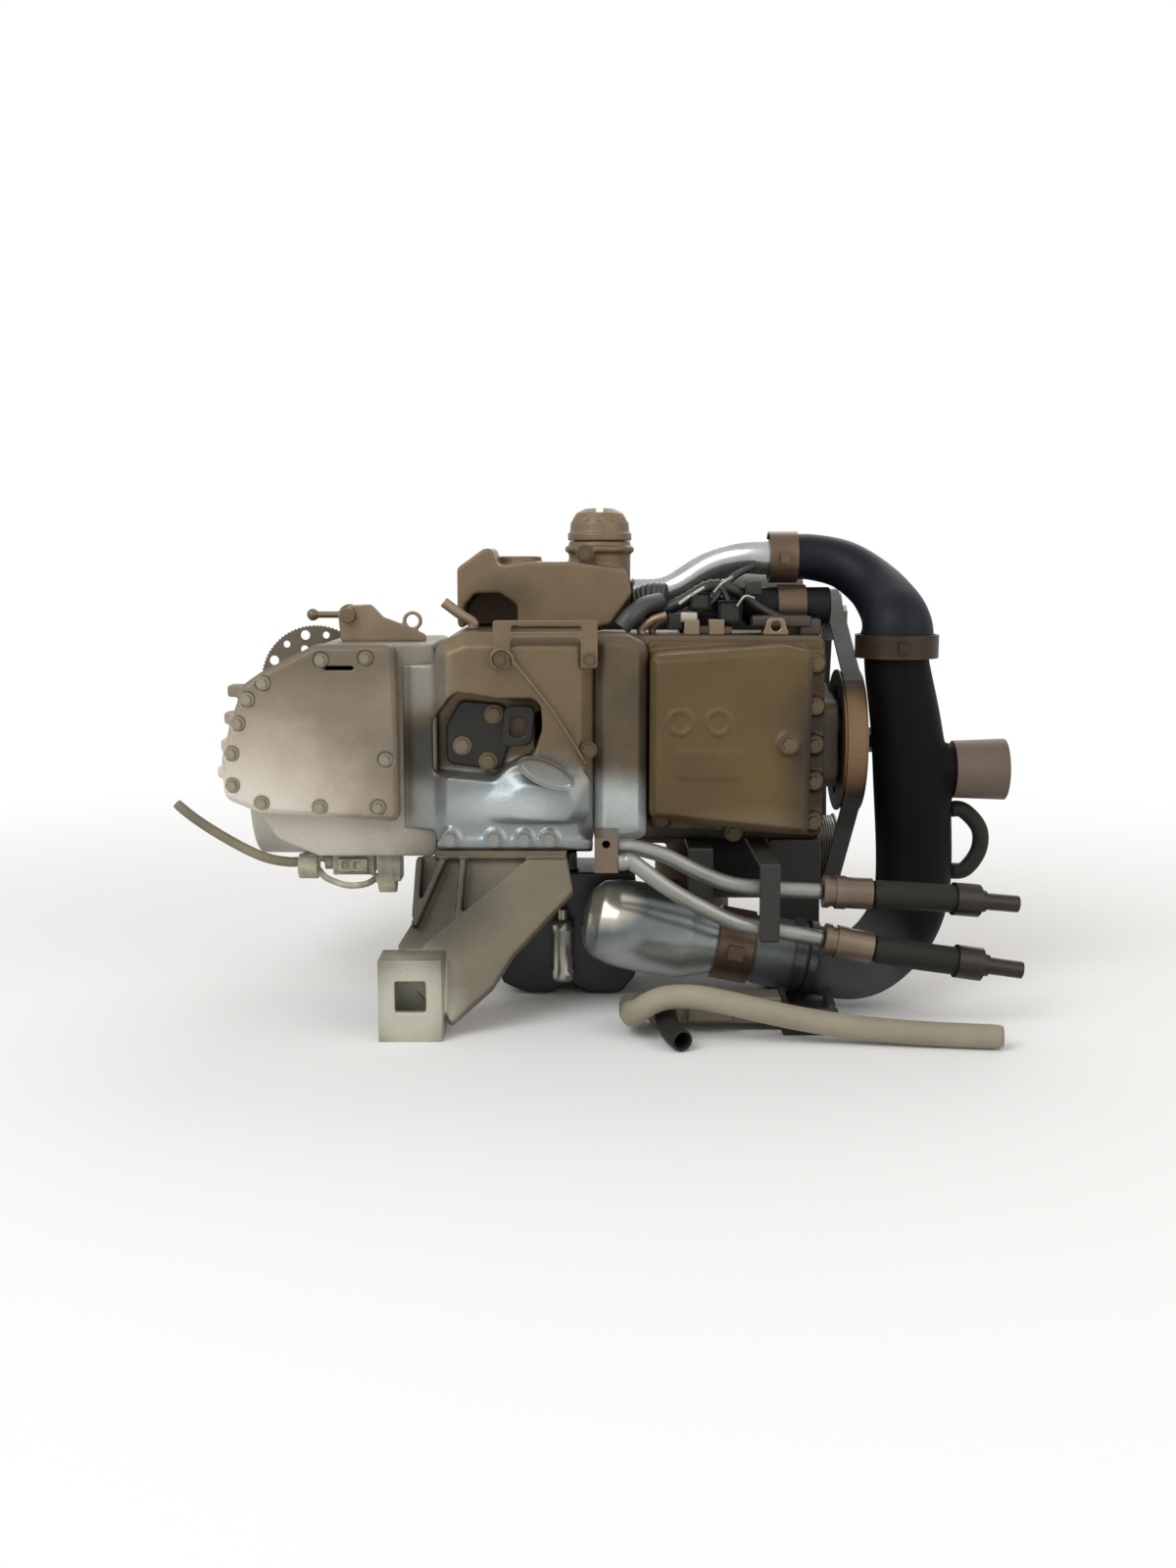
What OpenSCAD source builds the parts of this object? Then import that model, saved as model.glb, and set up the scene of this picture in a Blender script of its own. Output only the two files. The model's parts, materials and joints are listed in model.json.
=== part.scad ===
// Small transverse three-cylinder car engine with its gearbox, lying on its mounts.
// X runs along the crankshaft, -Y is the oil pan side and +Z is up from the floor.

/* [Crank train] */
// Height of the crank axis above the floor
crank_z = 265; // [262:1:270]
// Diameter of a cylinder bore
bore_d = 68; // [60:0.5:70]
// Piston stroke
stroke = 84; // [70:1:86]
// Distance between neighbouring cylinders
cylinder_pitch = 75; // [74:0.5:77]
// Diameter of the main bearing journals
journal_d = 44; // [40:1:50]
// Diameter of the crank pins
pin_d = 38; // [34:1:42]
// Height of a piston
piston_h = 46; // [40:1:52]
// Radial running clearance of shafts in their bearings
run_gap = 0.05; // [0.02:0.01:0.1]

/* [Castings] */
// Length of the engine block along the crank
block_len = 240; // [238:1:244]
// Height of the cylinder deck above the crank axis
deck_h = 200; // [198:1:206]
// Wall of the aluminium castings
wall = 6; // [5:0.5:7]
// Depth of the oil pan
pan_depth = 80; // [70:1:84]
// Wall of the oil pan
pan_wall = 4; // [3:0.5:5]
// Width of the raised oil pan panel
pan_w = 160; // [154:1:161]
// Length of the bell housing
bell_len = 159; // [156:1:161]
// Outer radius of the bell housing round the flywheel
bell_r = 121; // [119:0.5:123]
// Depth of the recess in the front of the bell housing
recess_depth = 42; // [34:1:46]
// Length of the cylinder head across the cylinders
head_h = 112; // [106:1:116]
// Height of the cam cover
cam_cover_h = 46; // [42:1:50]
// Thickness of the head gasket
gasket_t = 1; // [0.6:0.1:1.4]
// Thickness of the timing cover
timing_t = 18; // [17:0.5:19]

/* [Gearbox] */
// Length of the gearbox along the crank
gearbox_len = 206; // [202:1:210]
// Depth of the front cover
cover_depth = 24; // [20:1:26]
// Radius of the perforated disc
disc_r = 64; // [58:0.5:66]
// Thickness of the perforated disc
disc_t = 3; // [2:0.5:4]
// Number of holes in the perforated disc
disc_holes = 14; // [8:1:16]
// Module of the gear teeth
gear_m = 3; // [2.8:0.05:3]
// Teeth of the driving gear
drive_teeth = 20; // [18:1:21]
// Teeth of the driven gear
driven_teeth = 30; // [28:1:31]

/* [Belt drive] */
// Diameter of the crank pulley
pulley_d = 156; // [150:1:158]
// Width of the ribbed belt
belt_w = 24; // [18:1:25]
// Thickness of the belt
belt_t = 4; // [3:0.2:4.6]
// Diameter of the alternator pulley
alt_pulley_d = 56; // [50:1:60]
// Diameter of the compressor pulley
comp_pulley_d = 96; // [90:1:100]
// Diameter of the tensioner roller
roller_d = 60; // [54:1:64]

/* [Air path] */
// Outer diameter of the silver charge pipe
charge_d = 36; // [32:0.5:38]
// Outer diameter of the elbow hose
elbow_d = 50; // [47:0.5:52]
// Wall of the pipes and hoses
hose_wall = 3; // [2:0.25:3.5]
// Outer diameter of the domed can
can_d = 92; // [88:1:94]
// Length of the domed can
can_len = 158; // [152:1:162]

/* [Lines] */
// Diameter of the bright lines
line_d = 17; // [14:0.5:18]
// Diameter of the hoses crimped to the lines
line_hose_d = 29; // [26:0.5:30]
// Diameter of the coolant hose
coolant_d = 24; // [20:0.5:25]
// Diameter of the vent pipe
vent_d = 11; // [9:0.5:12]

/* [Mounts] */
// Bolt size of the mounts
mount_bolt_d = 12; // [10:0.5:12]
// Side of the square window in the bracket foot
window = 30; // [26:1:31]
// Thickness of the bracket's plates
bracket_t = 8; // [6:0.5:10]
// Diameter of the flange bolts' heads
bolt_head_d = 15; // [12:0.5:16]
// Height of the flange bolts' heads
bolt_head_h = 8; // [6:0.5:9]

/* [Hidden] */
// Engine block's left end, measured from the middle of the whole unit
block_x = -26.5;
block_end = block_x + block_len;
bell_x = block_x - bell_len;
gearbox_x = bell_x - gearbox_len;
bore_r = bore_d / 2;
throw = stroke / 2;
main_r = journal_d / 2;
web_t = 15;
cyl_x = [for (i = [0:2]) block_x + block_len / 2 + (i - 1) * cylinder_pitch];
// Middle of the unit and its pipes, measured from the middle of the castings and from the crank axis
mid_y = 52;
mid_x = -27.15;
joint_y = -70;
pan_face = joint_y - pan_depth;
pan_x = block_x + 56;
belt_x = block_end + timing_t + 4;
head_y = deck_h + gasket_t;
cam_y = head_y + head_h;
fine = 96;
cover_bolt = 9;
bell_bolt = 12;
guide_bolt = 9;
touch = 0.3;
deck_lo = -62;
deck_hi = 62;
bell_top = crank_z + bell_r + 2;

// Arc points that round the corner p between its neighbours a and b
function arc_corner(a, p, b, r, n = 5) =
    let (u = (a - p) / norm(a - p), v = (b - p) / norm(b - p), w = acos(u * v))
    let (c = p + (u + v) / norm(u + v) * r / sin(w / 2), t = r / tan(w / 2))
    let (s = p + u * t - c, e = p + v * t - c, a0 = atan2(s[1], s[0]))
    let (turn = (atan2(e[1], e[0]) - a0 + 540) % 360 - 180)
    [for (i = [0:n]) c + r * [cos(a0 + turn * i / n), sin(a0 + turn * i / n)]];

// Outline with every corner rounded; a point's third value is its own radius
module outline(points, r = 8) {
    n = len(points);
    function flat(i) = [points[(i + n) % n][0], points[(i + n) % n][1]];
    polygon([for (i = [0:n - 1]) each arc_corner(flat(i - 1), flat(i), flat(i + 1),
        len(points[i]) > 2 ? points[i][2] : r)]);
}

// Whole unit's frame, with its middle over the origin
module at() translate([-mid_x, -mid_y, 0]) children();
// Extrudes an X-Z outline from y0 to y1
module front(y0, y1) translate([0, y1, 0]) rotate([90, 0, 0]) linear_extrude(y1 - y0) children();
// Extrudes a Y-Z outline from x0 to x1
module side(x0, x1) translate([x0, 0, 0]) rotate([90, 0, 90]) linear_extrude(x1 - x0) children();
// Cylinder along X, along Y and along Z, each starting at p
module rod_x(p, d, h, d2 = 0) translate(p) rotate([0, 90, 0])
    cylinder(d1 = d, d2 = d2 ? d2 : d, h = h, $fn = fine);
module rod_y(p, d, h, d2 = 0) translate(p) rotate([-90, 0, 0])
    cylinder(d1 = d, d2 = d2 ? d2 : d, h = h, $fn = fine);
module rod_z(p, d, h, d2 = 0) translate(p) cylinder(d1 = d, d2 = d2 ? d2 : d, h = h, $fn = fine);
// Profile of [x, radius] points turned round an axis along X
module turned_x(p, profile) translate(p) rotate([0, 90, 0])
    rotate_extrude($fn = fine) polygon([for (q = profile) [q[1], q[0]]]);
module turned_z(p, profile) translate(p)
    rotate_extrude($fn = fine) polygon([for (q = profile) [q[1], q[0]]]);
module turned_y(p, profile) translate(p) rotate([-90, 0, 0])
    rotate_extrude($fn = fine) polygon([for (q = profile) [q[1], q[0]]]);
// Box from corner p to corner q
module block(p, q) translate(p) cube(q - p);
// Flange bolt whose head faces -Y, seated at p
module bolt_y(p, d = bolt_head_d, shank = 12) {
    rod_y(p - [0, 2, 0], d + 5, 2);
    translate(p - [0, bolt_head_h, 0]) rotate([-90, 0, 0]) cylinder(d = d, h = bolt_head_h - 2, $fn = 6);
    rod_y(p, d * 0.55, shank);
}
// Hole that takes such a bolt's shank
module bolt_hole_y(p, d = bolt_head_d, shank = 12) rod_y(p - [0, 1, 0], d * 0.55, shank + 1);

// Catmull-Rom point between b and c
function blend4(a, b, c, d, t) = 0.5 * (2 * b + (c - a) * t + (2 * a - 5 * b + 4 * c - d) * t * t
    + (3 * b - a - 3 * c + d) * t * t * t);
// Smooth path through the chosen points, n steps a span
function smooth(p, n) = let (m = len(p) - 1) concat([for (i = [0:m - 1]) for (k = [0:n - 1])
    blend4(p[max(i - 1, 0)], p[i], p[i + 1], p[min(i + 2, m)], k / n)], [p[m]]);
function unit(v) = v / norm(v);
// Tube swept along the points; d is one diameter or one for each point, bore 0 makes it solid
module tube(points, d, bore = 0, n = 4, sides = 12, ref = [0, 1, 0]) {
    path = smooth(points, n);
    sizes = smooth([for (i = [0:len(points) - 1]) [is_list(d) ? d[i] : d, 0, 0]], n);
    last = len(path) - 1;
    function tangent(i) = unit(path[min(i + 1, last)] - path[max(i - 1, 0)]);
    function ring(i, shrink) = let (u = unit(cross(tangent(i), ref)), v = cross(u, tangent(i)))
        [for (k = [0:sides - 1]) path[i] + (sizes[i][0] / 2 - shrink)
            * (cos(360 * k / sides) * u + sin(360 * k / sides) * v)];
    outer = [for (i = [0:last]) each ring(i, 0)];
    inner = bore > 0 ? [for (i = [0:last]) each ring(i, bore)] : [];
    m = len(outer);
    function skin(base, flip) = [for (i = [0:last - 1]) for (k = [0:sides - 1])
        let (a = base + i * sides + k, b = base + i * sides + (k + 1) % sides)
        flip ? [a, a + sides, b + sides, b] : [b, b + sides, a + sides, a]];
    ends = bore > 0
        ? [for (k = [0:sides - 1]) each let (j = (k + 1) % sides, e = last * sides)
            [[m + k, m + j, j, k], [m + e + j, m + e + k, e + k, e + j]]]
        : [[for (k = [sides - 1:-1:0]) k], [for (k = [0:sides - 1]) last * sides + k]];
    polyhedron(concat(outer, inner), concat(skin(0, false), bore > 0 ? skin(m, true) : [], ends), 6);
}

// Moves every side of an anticlockwise outline inwards by d
function inset(p, d) = let (n = len(p)) [for (i = [0:n - 1])
    let (a = [p[(i + n - 1) % n][0], p[(i + n - 1) % n][1]], b = [p[i][0], p[i][1]])
    let (c = [p[(i + 1) % n][0], p[(i + 1) % n][1]], u = unit(b - a), v = unit(c - b))
    let (nu = [-u[1], u[0]], nv = [-v[1], v[0]], q = b + d * (nu + nv) / (1 + nu * nv)) [q[0], q[1]]];
// Cast block from y0 to y1 whose front edge is chamfered by c
module cast_front(y0, y1, points, r, c) {
    hull() {
        front(y0, y0 + 1) outline(inset(points, c), max(r - c, 1));
        front(y0 + c, y0 + c + 1) outline(points, r);
    }
    front(y0 + c, y1) outline(points, r);
}
// Ring of evenly spaced copies round an axis along X through p
module ring_x(p, r, n, a0 = 0) for (i = [0:n - 1])
    translate(p + [0, r * cos(a0 + 360 * i / n), r * sin(a0 + 360 * i / n)]) children();
// Straight-flanked gear outline: teeth on the pitch circle with side play
module gear_2d(teeth, phase = 0) {
    pitch_r = gear_m * teeth / 2;
    root_r = pitch_r - 1.25 * gear_m;
    tip_r = pitch_r + 0.8 * gear_m;
    step = 360 / teeth;
    polygon([for (i = [0:teeth - 1]) each [for (q = [[root_r, -0.32], [tip_r, -0.11], [tip_r, 0.11],
        [root_r, 0.32]]) q[0] * [cos((i + q[1]) * step + phase), sin((i + q[1]) * step + phase)]]]);
}
// Gear with its axis along X, from x0 to x1, seen in the Y-Z plane
module gear_x(y, z, x0, x1, teeth, phase = 0) translate([0, y, z]) side(x0, x1) gear_2d(teeth, phase);

case_hi = crank_z + 110;
cover_face = joint_y - pan_depth;
cover_joint = cover_face + cover_depth;
case_back = 60;
case_right = bell_x;
// Front outline of the gearbox, anticlockwise from the upper right
case_points = [[case_right, case_hi], [gearbox_x + 92, case_hi, 10], [gearbox_x + 42, case_hi - 27, 16],
    [gearbox_x + 20, 334, 20],
    [gearbox_x - 2, 262, 20], [gearbox_x + 1, 232, 14], [gearbox_x + 22, 212, 14],
    [gearbox_x + 44, 178, 20], [gearbox_x + 86, 160, 12], [case_right, 160]];
cover_points = [[case_right - 36, 280, 8], [case_right - 38, case_hi + 1, 10], [gearbox_x + 90, case_hi + 1, 12],
    [gearbox_x + 36, case_hi - 26, 12],
    [gearbox_x + 17, 336, 14], [gearbox_x + 3, 296, 20], [gearbox_x - 6, 262, 12],
    [gearbox_x - 4, 222, 14], [gearbox_x + 30, 208, 16], [case_right - 36, 199, 6]];
out_y = -60;
out_z = crank_z - 45;
diff_teeth = 48;
pinion_teeth = 16;
diff_y = out_y + gear_m * (diff_teeth + pinion_teeth) / 2;
diff_r = gear_m * diff_teeth / 2 + 12;
bearing_d = 24;
disc_c = [gearbox_x + 46, diff_y + diff_r + 10, crank_z + 54];
rear_foot_p = [bell_x + 88, 104];
foot_bolt_y = [rear_foot_p[1] - 8, rear_foot_p[1] + 12];
selector_bolt_x = [gearbox_x + 124, gearbox_x + 170];
disc_boss_d = 40;
disc_pin_d = 16;
cover_bolts_xz = [[gearbox_x + 38, case_hi - 37], [gearbox_x + 22, 322], [gearbox_x + 12, 298],
    [gearbox_x + 5, 268], [gearbox_x + 5, 236], [gearbox_x + 34, 218], [gearbox_x + 92, 214],
    [case_right - 56, 214], [case_right - 48, 262], [case_right - 66, case_hi - 12],
    [gearbox_x + 96, case_hi - 14]];

module gearbox_case() at() color("#9a9486") difference() {
    union() {
        front(cover_joint, case_back) outline(case_points, 6);
        rod_x([gearbox_x, diff_y, out_z], 2 * diff_r, 126);
        rod_y([disc_c[0], case_back - wall, disc_c[2]], disc_boss_d, disc_c[1] - case_back + wall - 2);
    }
    front(cover_joint + wall, case_back - wall) outline(inset(case_points, wall + 1), 6);
    front(cover_joint - 1, cover_joint + wall + 1) outline(inset(cover_points, 11), 6);
    rod_x([gearbox_x + wall, diff_y, out_z], 2 * diff_r - 2 * wall, 126 - 2 * wall);
    for (x = selector_bolt_x) rod_z([x, -46, case_hi - 8], 6.6, 10);
    rod_x([case_right - 20, 0, crank_z], bearing_d + 2 * run_gap, 30);
    rod_x([gearbox_x - 20, diff_y, out_z], 40 + 2 * run_gap, 200);
    rod_y([disc_c[0], disc_c[1] - 42, disc_c[2]], disc_pin_d + 2 * run_gap, 60);
    for (q = cover_bolts_xz) bolt_hole_y([q[0], cover_joint, q[1]], cover_bolt, 11);
}
// Plate that carries the gear shafts
module bearing_plate() at() color("#8d8a82") difference() {
    side(gearbox_x + 92, gearbox_x + 100) outline([[cover_joint + 12, out_z - 44], [case_back - wall - 3, out_z - 44],
        [case_back - wall - 3, crank_z + 48], [cover_joint + 12, crank_z + 48]], 10);
    for (q = [[0, crank_z], [out_y, out_z]])
        rod_x([gearbox_x + 90, q[0], q[1]], bearing_d + 2 * run_gap, 12);
    rod_x([gearbox_x + 90, diff_y, out_z], 116, 12);
}
module gearbox_cover() at() color("#a59a86") difference() {
    union() {
        cast_front(cover_face, cover_joint, cover_points, 8, 5);
        for (q = cover_bolts_xz) rod_y([q[0], cover_face + 3, q[1]], 2 * cover_bolt, cover_depth - 3);
        for (i = [0:3]) front(cover_face + 4, cover_joint) translate([gearbox_x + 10 - 4 * i, 330 - 27 * i])
            outline([[-8, -6], [8, -6], [8, 6], [-8, 6]], 3);
    }
    difference() {
        front(cover_face + wall, cover_joint + 1) outline(inset(cover_points, 11), 6);
        for (q = cover_bolts_xz) rod_y([q[0], cover_face, q[1]], 2 * cover_bolt, cover_depth);
    }
    for (q = cover_bolts_xz) rod_y([q[0], cover_face, q[1]], cover_bolt * 0.55 + 0.4, cover_depth + 1);
    for (q = cover_bolts_xz) rod_y([q[0], cover_face - 1, q[1]], cover_bolt + 6.4, 4);
    block([gearbox_x + 98, cover_face - 1, case_hi - 24], [gearbox_x + 128, cover_face + wall + 1, case_hi - 20]);
}
module cover_bolts() at() color("#8b8578")
    for (q = cover_bolts_xz) bolt_y([q[0], cover_face + 3, q[1]], cover_bolt, cover_depth + 7);

bell_front = pan_face;
bell_back = 128;
bell_lo = 171;
bell_points = [[bell_x, bell_lo], [block_x, bell_lo], [block_x, bell_top], [bell_x + 30, bell_top, 30], [bell_x, 376, 20]];
recess_points = [[bell_x - 2, 246], [bell_x + 60, 240, 8], [bell_x + 74, 254, 10], [bell_x + 98, 263, 12],
    [bell_x + 108, 292, 14], [bell_x + 106, 323, 12], [bell_x + 66, 322, 14], [bell_x + 20, 329, 12],
    [bell_x - 2, 300, 8]];
bell_bolts_xz = [[block_x - 44, 183], [bell_x + 60, 183], [bell_x + 90, 183],
    [bell_x + 16, 183]];
frame_x = [bell_x + 68, block_x - 4];
frame_z = [362, 398];
module bell_housing() at() color("#6f6350") difference() {
    union() {
        cast_front(bell_front, bell_back, bell_points, 10, 14);
        rod_x([block_x - 66, 0, crank_z], 2 * bell_r, 66);
        // Silvery belly under the recess
        hull() {
            front(bell_front - 12, bell_front - 11) outline([[bell_x + 62, 206], [block_x - 14, 200],
                [block_x - 26, 238], [bell_x + 88, 236]], 14);
            front(bell_front + 2, bell_front + 3) outline([[bell_x + 20, 198], [block_x - 2, 198],
                [block_x - 2, 252], [bell_x + 70, 252]], 14);
        }
        front(bell_front - 3, bell_front + 4) outline([[bell_x + 2, 171], [block_x, 171], [block_x, 182],
            [bell_x + 2, 182]], 4);
        for (q = bell_bolts_xz) rod_y([q[0], bell_front - 4, q[1]], bell_bolt + 7, 20);
        // Flank that falls away to the gearbox cover
        translate([0, 0, 188]) linear_extrude(bell_top - 220) polygon([[bell_x - 34, cover_joint - 0.3],
            [bell_x + 4, cover_joint - 0.3], [bell_x + 4, bell_front + 14]]);
    }
    rod_x([block_x - 58, 0, crank_z], 2 * bell_r - 2 * wall, 60);
    front(bell_front + recess_depth + wall, bell_back - wall) outline(inset(bell_points, wall + 2), 12);
    rod_x([bell_x - 1, 0, crank_z], bearing_d + 12, 20);
    front(bell_front - 1, bell_front + recess_depth) outline(recess_points, 8);
    for (q = bell_bolts_xz) bolt_hole_y([q[0], bell_front - 4, q[1]], bell_bolt, 12);
    for (x = frame_x) bolt_hole_y([x, bell_front, frame_z[0]], guide_bolt, 12);
    bolt_hole_y([block_x - 5, bell_front, 272], bell_bolt, 13);
    for (q = plate_bolts_xz) bolt_hole_y([q[0], bell_front + recess_depth - 6, q[1]], 14, 16);
    for (x = bracket_bolt_x) rod_z([x, bracket_bolt_y, 170], 8.25, 14);
    for (y = foot_bolt_y) rod_z([rear_foot_p[0], y, bell_lo - 1], 12 * 0.55, 14);
}
module bell_bolts() at() color("#7d776a") {
    for (q = bell_bolts_xz) bolt_y([q[0], bell_front - 4, q[1]], bell_bolt, 12);
    bolt_y([block_x - 5, bell_front, 272], bell_bolt, 12);
}
plate_bolts_xz = [[bell_x + 26, 272], [bell_x + 58, 304], [bell_x + 52, 256]];
plate_face = bell_front + recess_depth - 6;
module recess_plate() at() color("#3b3a36") difference() {
    front(plate_face, plate_face + 6) outline([[bell_x + 10, 254], [bell_x + 64, 246, 10],
        [bell_x + 74, 272], [bell_x + 70, 314], [bell_x + 24, 318], [bell_x + 10, 292]], 8);
    for (q = plate_bolts_xz) rod_y([q[0], plate_face - 1, q[1]], 14 * 0.55 + 0.4, 8);
}
module plate_bolts() at() color("#6a665c")
    for (q = plate_bolts_xz) bolt_y([q[0], plate_face, q[1]], 14, 20);
module recess_strap() at() color("#55524a") {
    front(plate_face - 16, plate_face - 10) difference() {
        outline([[bell_x + 66, 272], [bell_x + 97, 274], [bell_x + 101, 314], [bell_x + 70, 314]], 8);
        outline([[bell_x + 74, 282], [bell_x + 90, 282], [bell_x + 92, 302], [bell_x + 76, 302]], 5);
    }
    rod_y([bell_x + 90, plate_face - 10.5, 308], 9, 16.5);
}

block_lo = crank_z - 97;
block_hi = crank_z + 116;
crank_space = 68;
seal_d = 34;
block_points = [[block_x, block_lo], [block_end, block_lo], [block_end, block_hi], [block_x, block_hi]];
strip_points = [[block_x, block_lo + 4], [pan_x - 2, block_lo + 12], [pan_x - 2, block_hi - 6],
    [pan_x - 22, block_hi + 4], [block_x, block_hi + 4]];
pan_lo = crank_z - 67;
pan_hi = crank_z + 112;
pan_points = [[pan_x, pan_lo + 4], [pan_x + pan_w, pan_lo - 14], [pan_x + pan_w + 2, pan_hi - 8],
    [pan_x + pan_w - 26, pan_hi - 2], [pan_x, pan_hi - 12]];
pan_flange = [[pan_x, pan_lo - 16], [block_end - 1, pan_lo - 26, 10], [block_end - 1, pan_hi - 2, 12],
    [pan_x, pan_hi - 2]];
pan_bolts_xz = concat([[pan_x + 14, pan_lo - 6], [pan_x + 90, pan_lo - 21]],
    [for (z = [-76, -34, 4, 44, 88]) [block_end - 11, crank_z + z]]);
drain_xz = [pan_x + pan_w - 22, crank_z + 13];
head_lo = crank_z - 66;
head_top = crank_z + 70;
head_points = [[block_x + 6, head_lo], [block_end - 6, head_lo], [block_end - 6, head_top],
    [block_x + 6, head_top]];
cam_z = [crank_z - 34, crank_z + 34];
cam_axis_y = cam_y + 2;
cam_d = 24;

module engine_block() at() color("#7c725f") difference() {
    union() {
        front(joint_y, 60) outline(block_points, 10);
        front(60, deck_h) outline(head_points, 10);
        cast_front(pan_face + 8, joint_y, strip_points, 10, 10);
        for (x = cyl_x) front(60, deck_h - 14) translate([x, head_top]) outline([[-5, -4], [5, -4], [5, 3.5],
            [-5, 3.5]], 2);
        rod_z([block_x + 50, 62, head_top - 2], 30, 10);
    }
    for (x = cyl_x) {
        rod_x([x - (cylinder_pitch - web_t) / 2, 0, crank_z], 2 * crank_space, cylinder_pitch - web_t);
        block([x - (cylinder_pitch - web_t) / 2, joint_y - 1, crank_z + deck_lo],
            [x + (cylinder_pitch - web_t) / 2, 0, crank_z + deck_hi]);
        rod_y([x, 30, crank_z], bore_d, deck_h);
    }
    rod_x([block_x - 1, 0, crank_z], journal_d + 2 * run_gap, block_len + 2);
    front(pan_face + 8 + wall, joint_y - wall) outline(inset(strip_points, wall + 2), 6);
    for (q = pan_bolts_xz) bolt_hole_y([q[0], joint_y, q[1]], 12, 12);
    for (x = [block_x + 20, block_end - 20], z = [head_lo + 14, head_top - 14])
        rod_y([x, deck_h - 30, z], 10.5, 31);
    for (q = mount_holes) rod_z([q[0], q[1], block_hi - 20], mount_bolt_d - 1.5, 21);
    for (x = wedge_bolt_x) rod_z([x, -56, block_lo - 1], 14 * 0.55, 14);
}
mount_holes = [[block_x + 56, -10], [block_x + 82, -10]];
wedge_bolt_x = [block_end - 42, block_end - 14];
module oil_pan() at() color("#5e4c33") difference() {
    union() {
        cast_front(pan_face, joint_y, pan_points, 8, 7);
        front(joint_y - 8, joint_y) outline(pan_flange, 6);
        for (q = pan_bolts_xz) rod_y([q[0], joint_y - 12, q[1]], 21, 12);
        rod_y([drain_xz[0], pan_face - 3, drain_xz[1]], 24, 10);
        // Shallow pressed fields
        for (dx = [-20, 18]) rod_y([pan_x + 50 + dx, pan_face - 1.5, crank_z + 34], 26, 3);
        front(pan_face - 1, pan_face + 1) outline([[pan_x + 26, crank_z - 22], [pan_x + 92, crank_z - 22],
            [pan_x + 92, crank_z + 6], [pan_x + 26, crank_z + 6]], 6);
    }
    front(pan_face + pan_wall + 3, joint_y + 1) outline(inset(pan_points, pan_wall + 3), 5);
    for (q = pan_bolts_xz) bolt_hole_y([q[0], joint_y - 12, q[1]], 12, 12);
    for (dx = [-20, 18]) rod_y([pan_x + 50 + dx, pan_face - 3, crank_z + 34], 20, 3);
    rod_y([drain_xz[0], pan_face - 4, drain_xz[1]], 14 * 0.55 + 0.4, 16);
}
module pan_bolts() at() color("#8a7a5c")
    for (q = pan_bolts_xz) bolt_y([q[0], joint_y - 12, q[1]], 12, 23);
module drain_plug() at() color("#a0937a") bolt_y([drain_xz[0], pan_face - 3, drain_xz[1]], 14, 12);

// Angles of the three crank throws round the crank axis
throws = [90, 210, 330];
function pin_at(i) = [throw * cos(throws[i]), crank_z + throw * sin(throws[i])];
module crankshaft() at() color("#77736b") {
    difference() {
        union() {
            for (x = [for (i = [0:3]) cyl_x[0] + (i - 0.5) * cylinder_pitch])
                rod_x([x - web_t / 2 - 3, 0, crank_z], journal_d, web_t + 6);
            rod_x([block_x - 6, 0, crank_z], journal_d, 8);
            rod_x([block_end - 6, 0, crank_z], seal_d - 2, timing_t + 22);
            for (i = [0:2]) {
                rod_x([cyl_x[i] - 14, pin_at(i)[0], pin_at(i)[1]], pin_d, 28);
                for (dx = [-27, 13]) intersection() {
                    rod_x([cyl_x[i] + dx, 0, crank_z], 124, 14);
                    union() {
                        rod_x([cyl_x[i] + dx, pin_at(i)[0] * 0.9, crank_z + (pin_at(i)[1] - crank_z) * 0.9], 50, 14);
                        rod_x([cyl_x[i] + dx, 0, crank_z], 62, 14);
                        rod_x([cyl_x[i] + dx, -pin_at(i)[0] * 0.7, crank_z - (pin_at(i)[1] - crank_z) * 0.7], 82, 14);
                    }
                }
            }
        }
        for (i = [0:2]) rod_x([cyl_x[i] - 15, pin_at(i)[0], pin_at(i)[1]], 14, 30);
        rod_x([block_end + timing_t, 0, crank_z], 10.5, 20);
    }
}
ring_teeth = 108;
module flywheel() at() color("#6b6862") difference() {
    translate([0, 0, crank_z]) side(block_x - 26, block_x - 6) polygon([for (i = [0:ring_teeth - 1])
        each [for (q = [[bell_r - 11, -0.3], [bell_r - 8, -0.12], [bell_r - 8, 0.12], [bell_r - 11, 0.3]])
            q[0] * [cos((i + q[1]) * 360 / ring_teeth), sin((i + q[1]) * 360 / ring_teeth)]]]);
    rod_x([block_x - 27, 0, crank_z], 60, 12);
    ring_x([block_x - 27, 0, crank_z], 22, 6) rod_x([0, 0, 0], 9, 22);
}
module clutch_cover() at() color("#5d5a54") difference() {
    turned_x([block_x - 26, 0, crank_z], [[0, 78], [0, 98], [-3, 98], [-24, 84], [-24, 34], [-20, 34],
        [-20, 80], [-3, 88], [-3, 78]]);
    ring_x([block_x - 60, 0, crank_z], 60, 12) rod_x([0, 0, 0], 12, 30);
}
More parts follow.
